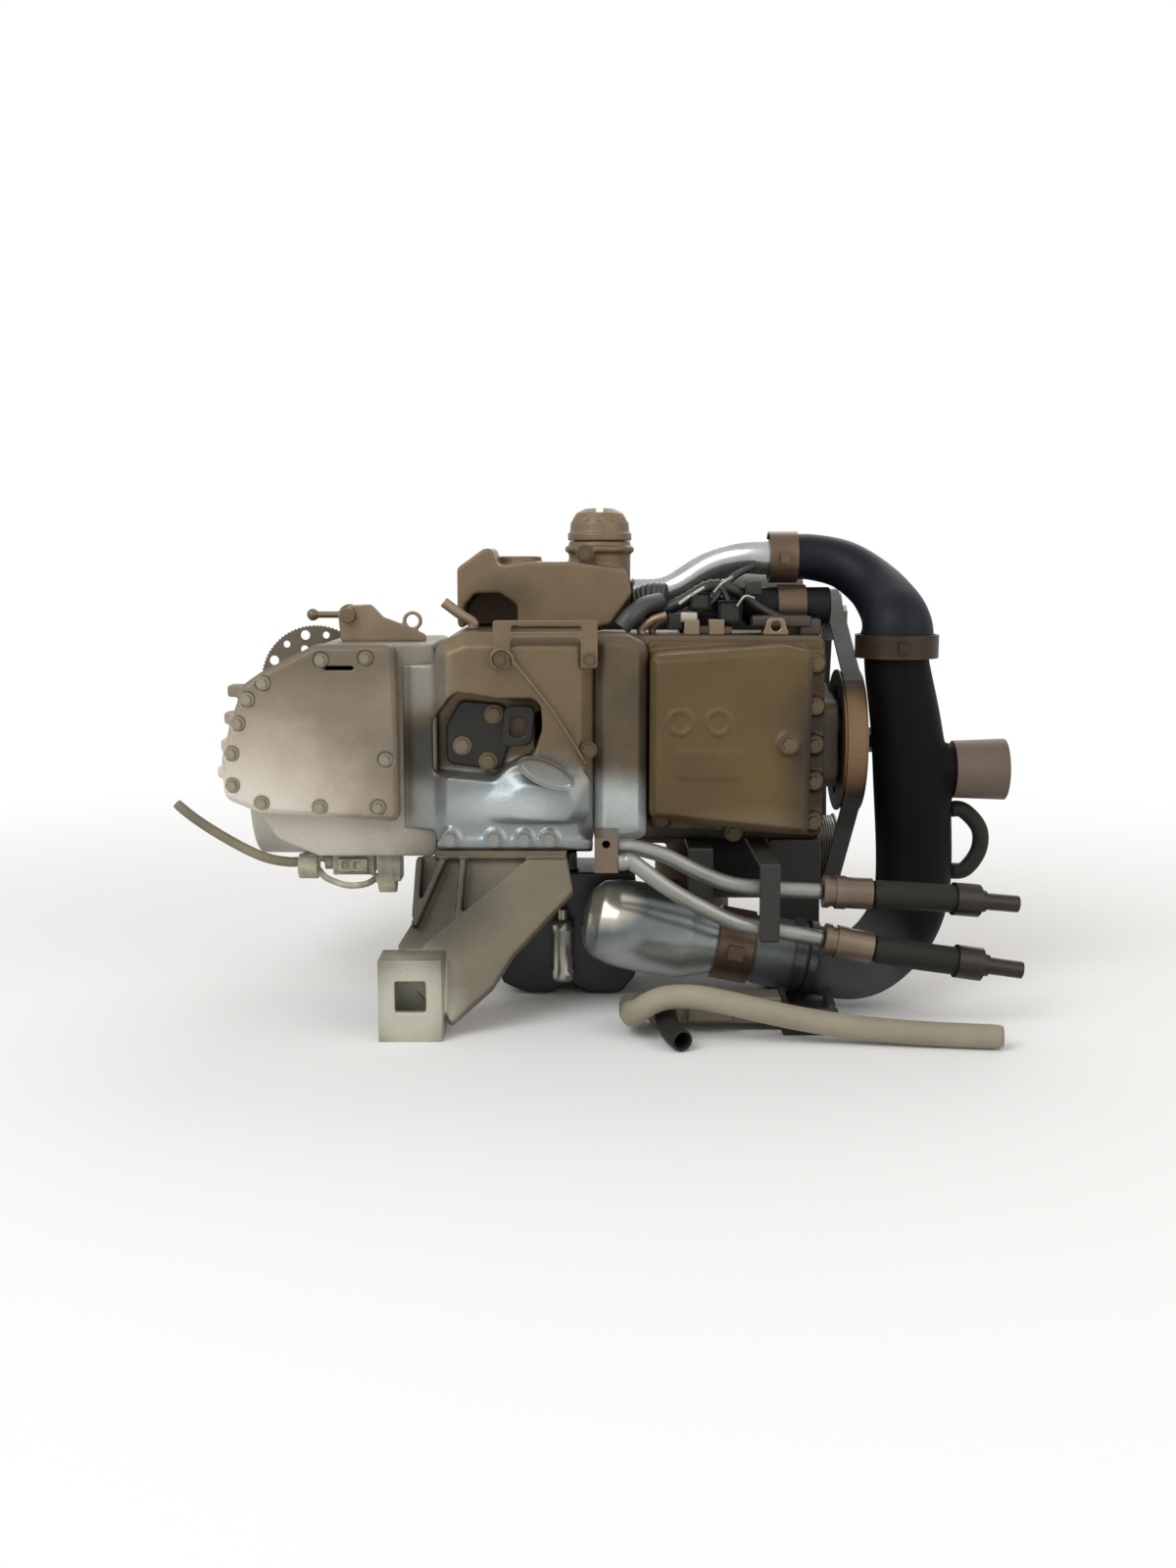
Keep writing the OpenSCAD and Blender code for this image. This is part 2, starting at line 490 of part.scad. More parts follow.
module pulley_profile(d, w, bore, hub_d) difference() {
    union() {
        rotate_extrude($fn = fine) polygon(concat([[bore / 2, 0], [d / 2 + 2, 0], [d / 2 + 2, 2]],
            [for (i = [0:6]) each [[d / 2 - 2, 2 + (w - 4) * (i + 0.25) / 7], [d / 2 - 2, 2 + (w - 4) * (i + 0.5) / 7],
                [d / 2, 2 + (w - 4) * (i + 0.75) / 7], [d / 2, 2 + (w - 4) * (i + 1) / 7]]],
            [[d / 2 + 2, w - 2], [d / 2 + 2, w], [d / 2 - 8, w], [d / 2 - 12, w - 8], [hub_d / 2 + 4, w - 8],
                [hub_d / 2, w], [bore / 2, w]]));
    }
    if (d > 90) for (i = [0:5]) rotate(60 * i) translate([(d / 2 - 12 + hub_d / 2 + 4) / 2, 0, -1])
        cylinder(d = (d / 2 - 16 - hub_d / 2) * 0.8, h = w + 2, $fn = 48);
}
module crank_pulley() at() color("#3f3a31") translate([belt_x, 0, crank_z]) rotate([0, 90, 0])
    pulley_profile(pulley_d - 2 * belt_t, belt_w, seal_d - 2, 46);
module pulley_bolt() at() color("#8a8172") {
    rod_x([belt_x + belt_w, 0, crank_z], 40, 4);
    translate([belt_x + belt_w + 4, 0, crank_z]) rotate([0, 90, 0]) cylinder(d = 27, h = 12, $fn = 6);
    rod_x([block_end + timing_t + 2, 0, crank_z], 10, belt_w + 3);
}
// Places of the pistons for the throws at rest
crown = 17;
rod_len = deck_h - throw - crown - 1;
function piston_y(i) = pin_at(i)[0] + sqrt(rod_len * rod_len - pow(pin_at(i)[1] - crank_z, 2));
module piston(i) at() color("#b5b2aa") difference() {
    rod_y([cyl_x[i], piston_y(i) - piston_h + crown, crank_z], bore_d - 4 * run_gap, piston_h);
    rod_y([cyl_x[i], piston_y(i) - piston_h + crown - 1, crank_z], bore_d - 14, piston_h - 8);
    rod_z([cyl_x[i], piston_y(i), crank_z - bore_d], 18, 2 * bore_d);
    for (k = [0:2]) translate([cyl_x[i], piston_y(i) + crown - 5 - 5 * k, crank_z]) rotate([90, 0, 0])
        difference() {
            cylinder(d = bore_d + 2, h = 1.5, $fn = fine);
            translate([0, 0, -1]) cylinder(d = bore_d - 6, h = 4, $fn = fine);
        }
}
module piston_1() piston(0);
module piston_2() piston(1);
module piston_3() piston(2);
module head_gasket() at() color("#54524e") difference() {
    front(deck_h, head_y) outline(head_points, 10);
    for (x = cyl_x) rod_y([x, deck_h - 1, crank_z], bore_d + 1, gasket_t + 2);
    for (x = [block_x + 20, block_end - 20], z = [head_lo + 14, head_top - 14])
        rod_y([x, deck_h - 1, z], 10.5, gasket_t + 2);
}
module cylinder_head() at() color("#8f8b82") difference() {
    union() {
        front(head_y, cam_y) outline(head_points, 10);
        for (x = cyl_x) {
            rod_z([x, head_y + 40, head_top - 2], 46, 8);
            rod_z([x, head_y + 52, head_lo - 6], 44, 8);
        }
    }
    for (x = cyl_x) {
        rod_y([x, head_y - 1, crank_z], bore_d, 12, bore_d - 20);
        rod_z([x, head_y + 40, crank_z + 20], 30, head_top - crank_z);
        rod_z([x, head_y + 52, head_lo - 10], 28, crank_z - 12 - head_lo);
        rod_y([x, head_y - 1, crank_z], 22, head_h + 2);
        for (z = cam_z) block([x - 20, cam_y - 24, z - 26], [x + 20, cam_y + 1, z + 26]);
    }
    for (z = cam_z) rod_x([block_x - 10, cam_axis_y, z], cam_d + 2 * run_gap, block_len + 20);
    for (x = [block_x + 20, block_end - 20], z = [head_lo + 14, head_top - 14])
        rod_y([x, head_y - 1, z], 10.5, 40);
}
module cam(z, turn) at() color("#a3a09a") {
    rod_x([block_x + 10, cam_axis_y, z], cam_d, block_len - 6);
    for (i = [0:2], dx = [-13, 5]) rod_x([cyl_x[i] + dx, cam_axis_y + 5 * cos(turn + 120 * i),
        z + 5 * sin(turn + 120 * i)], 35, 9);
}
module camshaft_upper() cam(cam_z[1], 60);
module camshaft_lower() cam(cam_z[0], 240);
module cam_cover() at() color("#38352f") difference() {
    union() {
        front(cam_y, cam_y + cam_cover_h) outline(head_points, 14);
        for (x = cyl_x) rod_y([x, cam_y + cam_cover_h - 2, crank_z], 46, 8);
    }
    difference() {
        front(cam_y - 1, cam_y + cam_cover_h - wall) outline(inset(head_points, wall + 2), 10);
        for (x = [block_x + 12, block_end - 24], z = cam_z) block([x, cam_y, z - 20], [x + 12, cam_y + 22, z + 20]);
    }
    for (z = cam_z) rod_x([block_x - 10, cam_axis_y, z], cam_d + 2 * run_gap, block_len + 20);
    for (x = cyl_x) rod_y([x, cam_y + 10, crank_z], 30.4, cam_cover_h);
}
module ignition_coils() at() color("#23221f") for (x = cyl_x) {
    rod_y([x, cam_y + 4, crank_z], 20, cam_cover_h);
    front(cam_y + cam_cover_h + 6, cam_y + cam_cover_h + 26) translate([x, crank_z])
        outline([[-20, -15], [20, -15], [20, 28], [-20, 28]], 6);
    rod_y([x, cam_y + cam_cover_h - 2, crank_z], 29.8, 8);
}

comp_c = [150, 110];
alt_c = [150, 392];
roller_c = [182, 240];
arm_pivot = [150, 300];
chain_t = 3;
cam_sprocket_r = 30;
crank_sprocket_r = 16;
chain_x = block_end + 3;
timing_points = [[-52, crank_z - 44], [110, crank_z - 66], [cam_y + 44, crank_z - 82, 20],
    [cam_y + 44, crank_z + 82, 20], [110, crank_z + 66], [-52, crank_z + 44]];
// Three or more circles [y, z, r] wrapped by a tight loop
module wrap_2d(circles) hull() for (q = circles) translate([q[0], q[1]]) circle(r = q[2], $fn = 48);
chain_wheels = [[0, crank_z, crank_sprocket_r + 1.6], [cam_axis_y, cam_z[0], cam_sprocket_r + 1.6],
    [cam_axis_y, cam_z[1], cam_sprocket_r + 1.6]];
function grown(wheels, d) = [for (q = wheels) [q[0], q[1], q[2] + d]];
module timing_chain() at() color("#6d6961") side(chain_x + 1, chain_x + 7) difference() {
    wrap_2d(grown(chain_wheels, chain_t));
    wrap_2d(grown(chain_wheels, touch - 1));
}
module cam_sprocket(z) at() color("#7a766d") difference() {
    union() {
        rod_x([block_end + 1, cam_axis_y, z], 2 * cam_sprocket_r, 9);
        rod_x([block_end + 10, cam_axis_y, z], 22, 3);
    }
    rod_x([block_end + 6, cam_axis_y, z], 9, 14);
    ring_x([block_end, cam_axis_y, z], 21, 5) rod_x([0, 0, 0], 9, 12);
}
module cam_sprocket_upper() cam_sprocket(cam_z[1]);
module cam_sprocket_lower() cam_sprocket(cam_z[0]);
module timing_cover() at() color("#4a463d") difference() {
    union() {
        side(block_end, block_end + timing_t) outline(timing_points, 16);
        rod_x([block_end + timing_t - 1, 0, crank_z], 58, 3);
        rod_x([block_end + timing_t - 1, arm_pivot[0], arm_pivot[1]], 26, 3);
    }
    side(block_end - 1, block_end + timing_t - 4) outline(inset(timing_points, wall), 12);
    rod_x([block_end, 0, crank_z], seal_d - 2 + 2 * run_gap, timing_t + 4);
    rod_x([block_end + timing_t - 4, arm_pivot[0], arm_pivot[1]], 10, 8);
}
belt_wheels = [[0, crank_z, pulley_d / 2 - belt_t], [comp_c[0], comp_c[1], comp_pulley_d / 2],
    [alt_c[0], alt_c[1], alt_pulley_d / 2], [roller_c[0], roller_c[1], roller_d / 2]];
module accessory_belt() at() color("#2c2721") side(belt_x + 2.5, belt_x + belt_w - 2.5) difference() {
    wrap_2d(grown(belt_wheels, belt_t));
    wrap_2d(grown(belt_wheels, touch));
}
module driven_pulley(c, d, bore, hub) at() color("#33302a") translate([belt_x, c[0], c[1]])
    rotate([0, 90, 0]) pulley_profile(d, belt_w, bore, hub);
shaft_d = 17;
module alternator_pulley() driven_pulley(alt_c, alt_pulley_d, shaft_d, 30);
module compressor_pulley() driven_pulley(comp_c, comp_pulley_d, shaft_d, 40);
module accessory_shaft(c, x0) at() color("#9b978e") {
    rod_x([x0, c[0], c[1]], shaft_d, belt_x + belt_w - x0 + 2);
    translate([belt_x + belt_w, c[0], c[1]]) rotate([0, 90, 0]) cylinder(d = 26, h = 8, $fn = 6);
}
module alternator_shaft() accessory_shaft(alt_c, block_end - 80);
module compressor_shaft() accessory_shaft(comp_c, block_end - 60);
module alternator() at() color("#8a877f") difference() {
    union() {
        rod_x([block_end - 86, alt_c[0], alt_c[1]], 104, 86);
        rod_x([block_end, alt_c[0], alt_c[1]], 56, timing_t, 36);
        block([block_end - 70, alt_c[0] - 30, head_top], [block_end - 50, alt_c[0] + 8, alt_c[1] - 20]);
        block([block_end - 24, alt_c[0] - 30, head_top], [block_end - 8, alt_c[0] + 8, alt_c[1] - 20]);
    }
    rod_x([block_end - 81, alt_c[0], alt_c[1]], shaft_d + 2 * run_gap, 130);
    rod_x([block_end - 70, alt_c[0], alt_c[1]], 86, 58);
    ring_x([block_end - 90, alt_c[0], alt_c[1]], 34, 12) rod_x([0, 0, 0], 10, 110);
}
module rotor() at() color("#7b4a2c") difference() {
    rod_x([block_end - 64, alt_c[0], alt_c[1]], 80, 46);
    rod_x([block_end - 65, alt_c[0], alt_c[1]], shaft_d, 50);
}
module compressor() at() color("#6f6c65") difference() {
    union() {
        rod_x([block_end - 120, comp_c[0], comp_c[1]], 100, 120);
        rod_x([block_end, comp_c[0], comp_c[1]], 70, timing_t, 52);
        for (x = [block_end - 110, block_end - 24])
            block([x, comp_c[0] - 40, comp_c[1]], [x + 16, comp_c[0] + 40, head_lo]);
    }
    rod_x([block_end - 61, comp_c[0], comp_c[1]], shaft_d + 2 * run_gap, 100);
    rod_x([block_end - 112, comp_c[0], comp_c[1]], 80, 48);
}
module tensioner_arm() at() color("#5b574e") difference() {
    union() {
        rod_x([block_end + timing_t + 2, arm_pivot[0], arm_pivot[1]], 30, 6);
        side(block_end + timing_t + 2, block_end + timing_t + 7) hull() {
            translate(arm_pivot) circle(d = 26, $fn = 32);
            translate(roller_c) circle(d = 18, $fn = 32);
        }
        rod_x([block_end + timing_t + 2, roller_c[0], roller_c[1]], 12, belt_w + 4);
    }
    rod_x([block_end + timing_t, arm_pivot[0], arm_pivot[1]], 10 + 2 * run_gap, 12);
}
module tensioner_pivot() at() color("#8a8172") {
    rod_x([block_end + timing_t - 4, arm_pivot[0], arm_pivot[1]], 10, 13);
    translate([block_end + timing_t + 8.3, arm_pivot[0], arm_pivot[1]]) rotate([0, 90, 0])
        cylinder(d = 19, h = 8, $fn = 6);
}
module tensioner_roller() at() color("#2b2925") difference() {
    rod_x([belt_x + 3.2, roller_c[0], roller_c[1]], roller_d, belt_w - 5);
    rod_x([belt_x + 2, roller_c[0], roller_c[1]], 12 + 2 * run_gap, belt_w);
    for (x = [belt_x + 2.2, belt_x + belt_w - 5.8]) difference() {
        rod_x([x, roller_c[0], roller_c[1]], roller_d - 12, 4);
        rod_x([x - 1, roller_c[0], roller_c[1]], 24, 6);
    }
}
// Intake side, above the head
plenum_z = head_top + 56;
module intake_manifold() at() color("#2e2c29") difference() {
    union() {
        for (x = cyl_x) {
            rod_z([x, head_y + 40, head_top + 6], 44, plenum_z - head_top - 26);
            rod_z([x, head_y + 40, head_top + 6], 54, 6);
        }
        rod_x([block_x - 10, head_y + 40, plenum_z], 76, block_len - 20);
        rod_x([block_x + block_len - 31, head_y + 40, plenum_z], 60, 8);
        rod_x([block_x - 22, head_y + 40, plenum_z], 44, 14);
    }
    for (x = cyl_x) rod_z([x, head_y + 40, head_top], 32, plenum_z - head_top);
    rod_x([block_x - 4, head_y + 40, plenum_z], 66, block_len - 32);
    rod_x([block_x - 30, head_y + 40, plenum_z], 36, 40);
}
// Exhaust side, under the head
module exhaust_manifold() at() color("#6a5442") difference() {
    union() {
        for (x = cyl_x) {
            rod_z([x, head_y + 52, head_lo - 56], 42, 50);
            rod_z([x, head_y + 52, head_lo - 14], 56, 8);
        }
        rod_x([cyl_x[0] - 24, head_y + 52, head_lo - 64], 56, cylinder_pitch * 2 + 40);
        rod_z([cyl_x[1], head_y + 52, head_lo - 110], 56, 40);
        rod_z([cyl_x[1], head_y + 52, head_lo - 118], 84, 10);
    }
    for (x = cyl_x) rod_z([x, head_y + 52, head_lo - 60], 30, 60);
    rod_x([cyl_x[0] - 18, head_y + 52, head_lo - 64], 42, cylinder_pitch * 2 + 28);
    rod_z([cyl_x[1], head_y + 52, head_lo - 130], 44, 70);
    for (a = [45:90:315]) rod_z([cyl_x[1] + 35.5 * cos(a), head_y + 52 + 35.5 * sin(a), head_lo - 120], 9, 14);
}
// Feet that carry the unit at the back
module rear_mount(x, y0, z0) difference() {
    union() {
        block([x - 30, y0 - 24, 0], [x + 30, y0 + 44, bracket_t]);
        for (dx = [-26, 18]) side(x + dx, x + dx + bracket_t) polygon([[y0 - 24, 0], [y0 + 40, 0],
            [y0 + 18, z0], [y0 - 18, z0]]);
        block([x - 30, y0 - 24, z0 - bracket_t], [x + 30, y0 + 24, z0]);
    }
    rod_z([x, y0 + 20, -1], mount_bolt_d + 1, bracket_t + 2);
}
module rear_foot() at() color("#2b2925") difference() {
    rear_mount(rear_foot_p[0], rear_foot_p[1], bell_lo);
    for (y = foot_bolt_y) rod_z([rear_foot_p[0], y, bell_lo - 20], 7.4, 30);
}

// Catalyst standing on the floor under the manifold
cat_xy = [cyl_x[1], head_y + 52];
module catalyst() at() color("#7a6a58") difference() {
    turned_z([cat_xy[0], cat_xy[1], 0], [[0, 22], [0, 42], [8, 42], [8, 28], [18, 50], [44, 50],
        [54, 28], [67, 28], [67, 42], [head_lo - 118.3, 42], [head_lo - 118.3, 22]]);
    for (a = [45:90:315]) rod_z([cat_xy[0] + 35.5 * cos(a), cat_xy[1] + 35.5 * sin(a), head_lo - 133], 9, 40);
    turned_z([cat_xy[0], cat_xy[1], 0], [[-1, 0], [-1, 24], [10, 25], [19, 47], [43, 47], [52, 25],
        [head_lo, 25], [head_lo, 0]]);
}
module catalyst_bolts() at() color("#6b5b4a") for (a = [45:90:315])
    translate([cat_xy[0] + 35.5 * cos(a), cat_xy[1] + 35.5 * sin(a), 0]) {
        rod_z([0, 0, 62], 8, head_lo - 108 - 62);
        translate([0, 0, head_lo - 108]) cylinder(d = 13, h = 6, $fn = 6);
        translate([0, 0, 61]) cylinder(d = 13, h = 6, $fn = 6);
    }

// Actuator casting with its turret on top of the bell housing
turret_c = [block_x + 7, 12];
turret_d = 66;
cap_z = 478;
module actuator() at() color("#6f5f48") difference() {
    union() {
        front(-58, 44) outline([[bell_x + 18, bell_top], [block_x - 2, bell_top], [block_x + 18, 392],
            [block_x + 40, 424], [block_x + 34, 448], [block_x - 20, 456], [bell_x + 92, 456],
            [bell_x + 60, 452], [bell_x + 54, 470, 5], [bell_x + 46, 470, 5], [bell_x + 18, 450]], 6);
        rod_z([bell_x + 82, 0, 450], 44, 12);
        rod_z([turret_c[0], turret_c[1], bell_top + 4], turret_d, cap_z - bell_top - 4);
        rod_z([turret_c[0], turret_c[1], cap_z - 12], turret_d + 8, 6);
        rod_y([turret_c[0] - 16, turret_c[1] - 42, cap_z - 14], 18, 20);
        rod_x([block_x + 36, 30, 422], charge_d - 2 * hose_wall - 1, 18);
    }
    front(-59, 20) outline([[bell_x + 24, bell_top - 6], [bell_x + 80, bell_top - 6], [bell_x + 80, 412],
        [bell_x + 62, 424], [bell_x + 36, 424], [bell_x + 24, 410]], 8);
    rod_z([turret_c[0], turret_c[1], 420], turret_d - 2 * wall, 100);
    rod_y([turret_c[0] - 16, turret_c[1] - 43, cap_z - 14], 13 * 0.55, 15);
    rod_x([block_x + 30, 30, 422], 16, 40);
}
module turret_bolt() at() color("#a0937a") bolt_y([turret_c[0] - 16, turret_c[1] - 42, cap_z - 14], 13, 14);
module filter_cap() at() color("#75664e") difference() {
    union() {
        rod_z([turret_c[0], turret_c[1], cap_z + touch], turret_d + 2, 8);
        turned_z([turret_c[0], turret_c[1], cap_z + touch + 7], [[0, 0], [0, 32], [12, 31], [22, 25], [27, 15], [28, 0]]);
        rod_z([turret_c[0], turret_c[1], cap_z - 24], turret_d - 2 * wall - 1, 25);
    }
    for (a = [0:30:359]) translate([turret_c[0], turret_c[1], cap_z + 20]) rotate(a) translate([30.5, 0, 0])
        cylinder(d = 6, h = 22, $fn = 24);
    block([turret_c[0] - 4, turret_c[1] - 40, cap_z + 30], [turret_c[0] + 4, turret_c[1] + 40, cap_z + 40]);
}
module guide_frame() at() color("#7a6f5c") difference() {
    front(bell_front - 6, bell_front) outline([[frame_x[0] - 8, frame_z[0] - 9], [frame_x[0] + 9, frame_z[0] - 9],
        [frame_x[0] + 9, 382, 4], [frame_x[1] - 9, 382, 4], [frame_x[1] - 9, frame_z[0] - 9],
        [frame_x[1] + 8, frame_z[0] - 9], [frame_x[1] + 8, frame_z[1] + 2], [frame_x[0] - 8, frame_z[1] + 2]], 3);
    front(bell_front - 7, bell_front + 1) outline([[frame_x[0] + 10, 386], [frame_x[1] - 8, 386],
        [frame_x[1] - 8, 395], [frame_x[0] + 10, 395]], 3);
    for (x = frame_x) rod_y([x, bell_front - 7, frame_z[0]], guide_bolt * 0.55 + 0.4, 8);
}
module guide_bolts() at() color("#a0937a") for (x = frame_x) bolt_y([x, bell_front - 6, frame_z[0]], guide_bolt, 18);
module retaining_rod() at() color("#c9c4b6") tube([[frame_x[0] + 12, bell_front - 8.2, 360],
    [frame_x[0] + 50, bell_front - 9, 312], [block_x - 11, bell_front - 8, 264], [block_x - 8, bell_front - 2.2, 258]],
    4, 0, 3, 8, [0, 0, 1]);

// Selector on top of the gearbox
lever_pivot = [gearbox_x + 112, crank_z + 137];
module selector_bracket() at() color("#8a7a5e") difference() {
    union() {
        front(-66, -60) outline([[gearbox_x + 104, case_hi, 2], [bell_x - 14, case_hi, 2], [bell_x - 14, 382],
            [gearbox_x + 170, 392], [gearbox_x + 148, 400], [gearbox_x + 136, 413], [gearbox_x + 114, 412],
            [gearbox_x + 101, 404]], 6);
        block([gearbox_x + 106, -66, case_hi], [bell_x - 20, -36, case_hi + 5]);
        rod_y([gearbox_x + 178, -66, 396], 20, 6);
    }
    rod_y([lever_pivot[0], -70, lever_pivot[1]], 10 + 2 * run_gap, 20);
    rod_y([gearbox_x + 178, -70, 396], 13, 20);
    for (x = selector_bolt_x) rod_z([x, -46, case_hi - 1], 7.2, 8);
}
module selector_bolts() at() color("#7d776a") for (x = selector_bolt_x) {
    rod_z([x, -46, case_hi + 5], 15, 2);
    translate([x, -46, case_hi + 7]) cylinder(d = 11, h = 6, $fn = 6);
    rod_z([x, -46, case_hi - 5], 6.6, 12);
}
module selector_lever() at() color("#5f5646") {
    rod_y([lever_pivot[0], -72, lever_pivot[1]], 10, 18);
    rod_y([lever_pivot[0], -74, lever_pivot[1]], 16, 7.7);
    rod_y([lever_pivot[0], -59.7, lever_pivot[1]], 22, 8);
    rod_x([lever_pivot[0] - 34, -56, lever_pivot[1]], 7, 30);
    turned_x([lever_pivot[0] - 38, -56, lever_pivot[1]], [[-6.5, 0], [-5.6, 3.2], [-3.2, 5.6], [0, 6.5],
        [3.2, 5.6], [5.6, 3.2], [6.5, 0]]);
}
module breather_pipe() at() color("#9a8f78") tube([[bell_x + 36, -82, bell_top + 0.3],
    [bell_x + 36, -82, bell_top + 3], [bell_x + 36, -82, bell_top + 7], [bell_x + 22, -82, 404], [bell_x + 6, -82, 416]], 11, 2, 3, 12);
module perforated_disc() at() color("#6e675a") difference() {
    union() {
        translate([disc_c[0], disc_c[1] + disc_t, disc_c[2]]) rotate([90, 0, 0]) linear_extrude(disc_t)
            polygon([for (i = [0:179]) (disc_r - (i % 2) * 1.6) * [cos(2 * i), sin(2 * i)]]);
        rod_y([disc_c[0], disc_c[1], disc_c[2]], 36, disc_t + 3);
        rod_y([disc_c[0], disc_c[1] - 38, disc_c[2]], disc_pin_d, 40);
        rod_y([disc_c[0], disc_c[1] - 1.7, disc_c[2]], 30, 3);
    }
    for (i = [0:disc_holes - 1]) rod_y(disc_c + [disc_r * 0.84 * cos(360 * i / disc_holes), -2,
        disc_r * 0.84 * sin(360 * i / disc_holes)], i % 2 ? 8 : 11, disc_t + 4);
    for (i = [0:7]) rod_y(disc_c + [disc_r * 0.6 * cos(45 * i + 20), -2, disc_r * 0.6 * sin(45 * i + 20)], 9, disc_t + 4);
}
// Gear shafts
module input_shaft() at() color("#8b8880") {
    rod_x([gearbox_x + 80, 0, crank_z], bearing_d, block_x - 27 - gearbox_x - 80);
    gear_x(0, crank_z, bell_x - 62, bell_x - 62 + gear_w, drive_teeth, mesh_angle);
}
module clutch_disc() at() color("#554a3e") difference() {
    rod_x([block_x - 32, 0, crank_z], 150, 5);
    rod_x([block_x - 33, 0, crank_z], bearing_d, 8);
}
mesh_angle = atan2(out_z - crank_z, out_y);
gear_w = 20;
module output_shaft() at() color("#8b8880") {
    rod_x([gearbox_x + 40, out_y, out_z], bearing_d, bell_x - 48 - gearbox_x);
    gear_x(out_y, out_z, bell_x - 62, bell_x - 62 + gear_w, driven_teeth, mesh_angle + 180 + 180 / driven_teeth);
    gear_x(out_y, out_z, gearbox_x + 46, gearbox_x + 46 + gear_w, pinion_teeth, 0);
}
module differential() at() color("#807c74") difference() {
    union() {
        gear_x(diff_y, out_z, gearbox_x + 46, gearbox_x + 46 + gear_w, diff_teeth, 180 + 180 / diff_teeth);
        rod_x([gearbox_x + 66, diff_y, out_z], 86, 40);
        rod_x([gearbox_x - 12, diff_y, out_z], 40, 150);
        rod_x([gearbox_x - 12, diff_y, out_z], 72, 10);
    }
    rod_x([gearbox_x - 13, diff_y, out_z], 26, 30);
    rod_x([gearbox_x + 100, diff_y, out_z], 26, 60);
    ring_x([gearbox_x - 13, diff_y, out_z], 28, 6) rod_x([0, 0, 0], 8, 12);
}

// Charge air path round the belt end
pipe_path = [[block_x + 42, 30, 422], [block_x + 58, 30, 422], [block_x + 74, 30, 423], [block_x + 96, 29, 431], [block_x + 126, 24, 450],
    [block_x + 156, 15, 460], [block_x + 184, 12, 461], [block_x + 206, 12, 461]];
elbow_path = [[block_end - 46, 12, 461], [block_end - 26, 12, 461], [block_end - 6, 12, 461],
    [block_end + 28, 5, 453], [block_end + 56, -14, 432], [block_end + 71, -42, 408], [block_end + 75, -59, 391],
    [block_end + 75, -60, 376], [block_end + 75, -60, 360]];
can_tilt = 11;
can_p = [block_x - 10, -120, 97];
// Point on the can's axis at a distance s from its dome
function can_at(s) = can_p + s * [cos(can_tilt), 0, -sin(can_tilt)];
pipe_end = can_len + 78;
duct_path = [[block_end + 75, -60, 374], [block_end + 75.5, -60, 350], [block_end + 86, -62, 290],
    [block_end + 94, -62, 220], [block_end + 98, -64, 150], [block_end + 94, -73, 104], [block_end + 76, -90, 72],
    [block_end + 49, -107, 50], [block_end + 26, -117, 45], can_at(pipe_end + 22), can_at(pipe_end + 10),
    can_at(pipe_end + 0.3)];
module charge_pipe() at() color("#9da0a0") tube(pipe_path, [for (i = [0:7]) i < 6 ? charge_d : charge_d + 2.6], hose_wall, 4, 16);
module elbow_hose() at() color("#1b2733")
    tube(elbow_path, [elbow_d, elbow_d, elbow_d, elbow_d + 3, 58, 67, 74, 78, 79], 4, 4, 16);
module clamp_ring(p, d, w, bore) translate(p) difference() {
    union() {
        rotate([0, 90, 0]) cylinder(d = d, h = w, $fn = fine);
        translate([w / 2 - 5, -d / 2 - 5, -6]) cube([10, 8, 12]);
    }
    translate([-1, 0, 0]) rotate([0, 90, 0]) cylinder(d = bore, h = w + 2, $fn = fine);
}
module upper_clamp() at() color("#8c7a60") clamp_ring([block_end - 52, 12, 461], elbow_d + 5, 30, elbow_d + 0.9);
module lower_clamp() at() color("#6a5a4a") translate([block_end + 75, -60, 369]) rotate([0, 90, 0])
    clamp_ring([-13, 0, 0], 86, 24, 79.8);
module charge_duct() at() color("#151316") {
    difference() {
        tube(duct_path, [66, 68, 74, 80, 80, 79, 77, 74, 73, 72, 72, 72], 3, 3, 20, [0, 1, 0.2]);
        rod_x([block_end + 100, -62, 241], 46, 60);
    }
    difference() {
        rod_x([block_end + 120, -62, 241], 53.4, 30);
        rod_x([block_end + 110, -62, 241], 46, 50);
    }
}
module hose_stub() at() color("#57493a") difference() {
    rod_x([block_end + 136, -62, 241], 60, 54, 64);
    rod_x([block_end + 135, -62, 241], 54, 64);
}
module loop_hose() at() color("#2a2826") tube([[block_end + 136.2, -58, 198], [block_end + 150, -58, 197],
    [block_end + 167, -60, 178], [block_end + 167, -60, 154], [block_end + 153, -60, 134], [block_end + 138.8, -58, 132]],
    18, 3, 4, 12);
module can_frame() translate(can_p) rotate([0, can_tilt, 0]) children();
can_r = can_d / 2;
function can_profile(t) = [[t, 0], [t, 14], [5, 30 - t], [16, can_r - 6 - t], [34, can_r - 1.5 - t], [60, can_r - t],
    [can_len - 52, can_r - 2 - t], [can_len - 22, can_r - 12 - t], [can_len, 31 - t]];
module domed_can() at() color("#aeb0ac") can_frame() difference() {
    turned_x([0, 0, 0], concat(can_profile(0), [[can_len, 0]]));
    turned_x([0, 0, 0], concat(can_profile(2), [[can_len + 1, 29], [can_len + 1, 0]]));
}
module lower_pipe() at() color("#2c2f30") can_frame() {
    turned_x([0, 0, 0], [[can_len + 0.5, 31], [can_len + 10, 31], [can_len + 24, 36], [pipe_end, 36],
        [pipe_end, 33], [can_len + 24, 33], [can_len + 10, 28], [can_len + 0.5, 28]]);
}
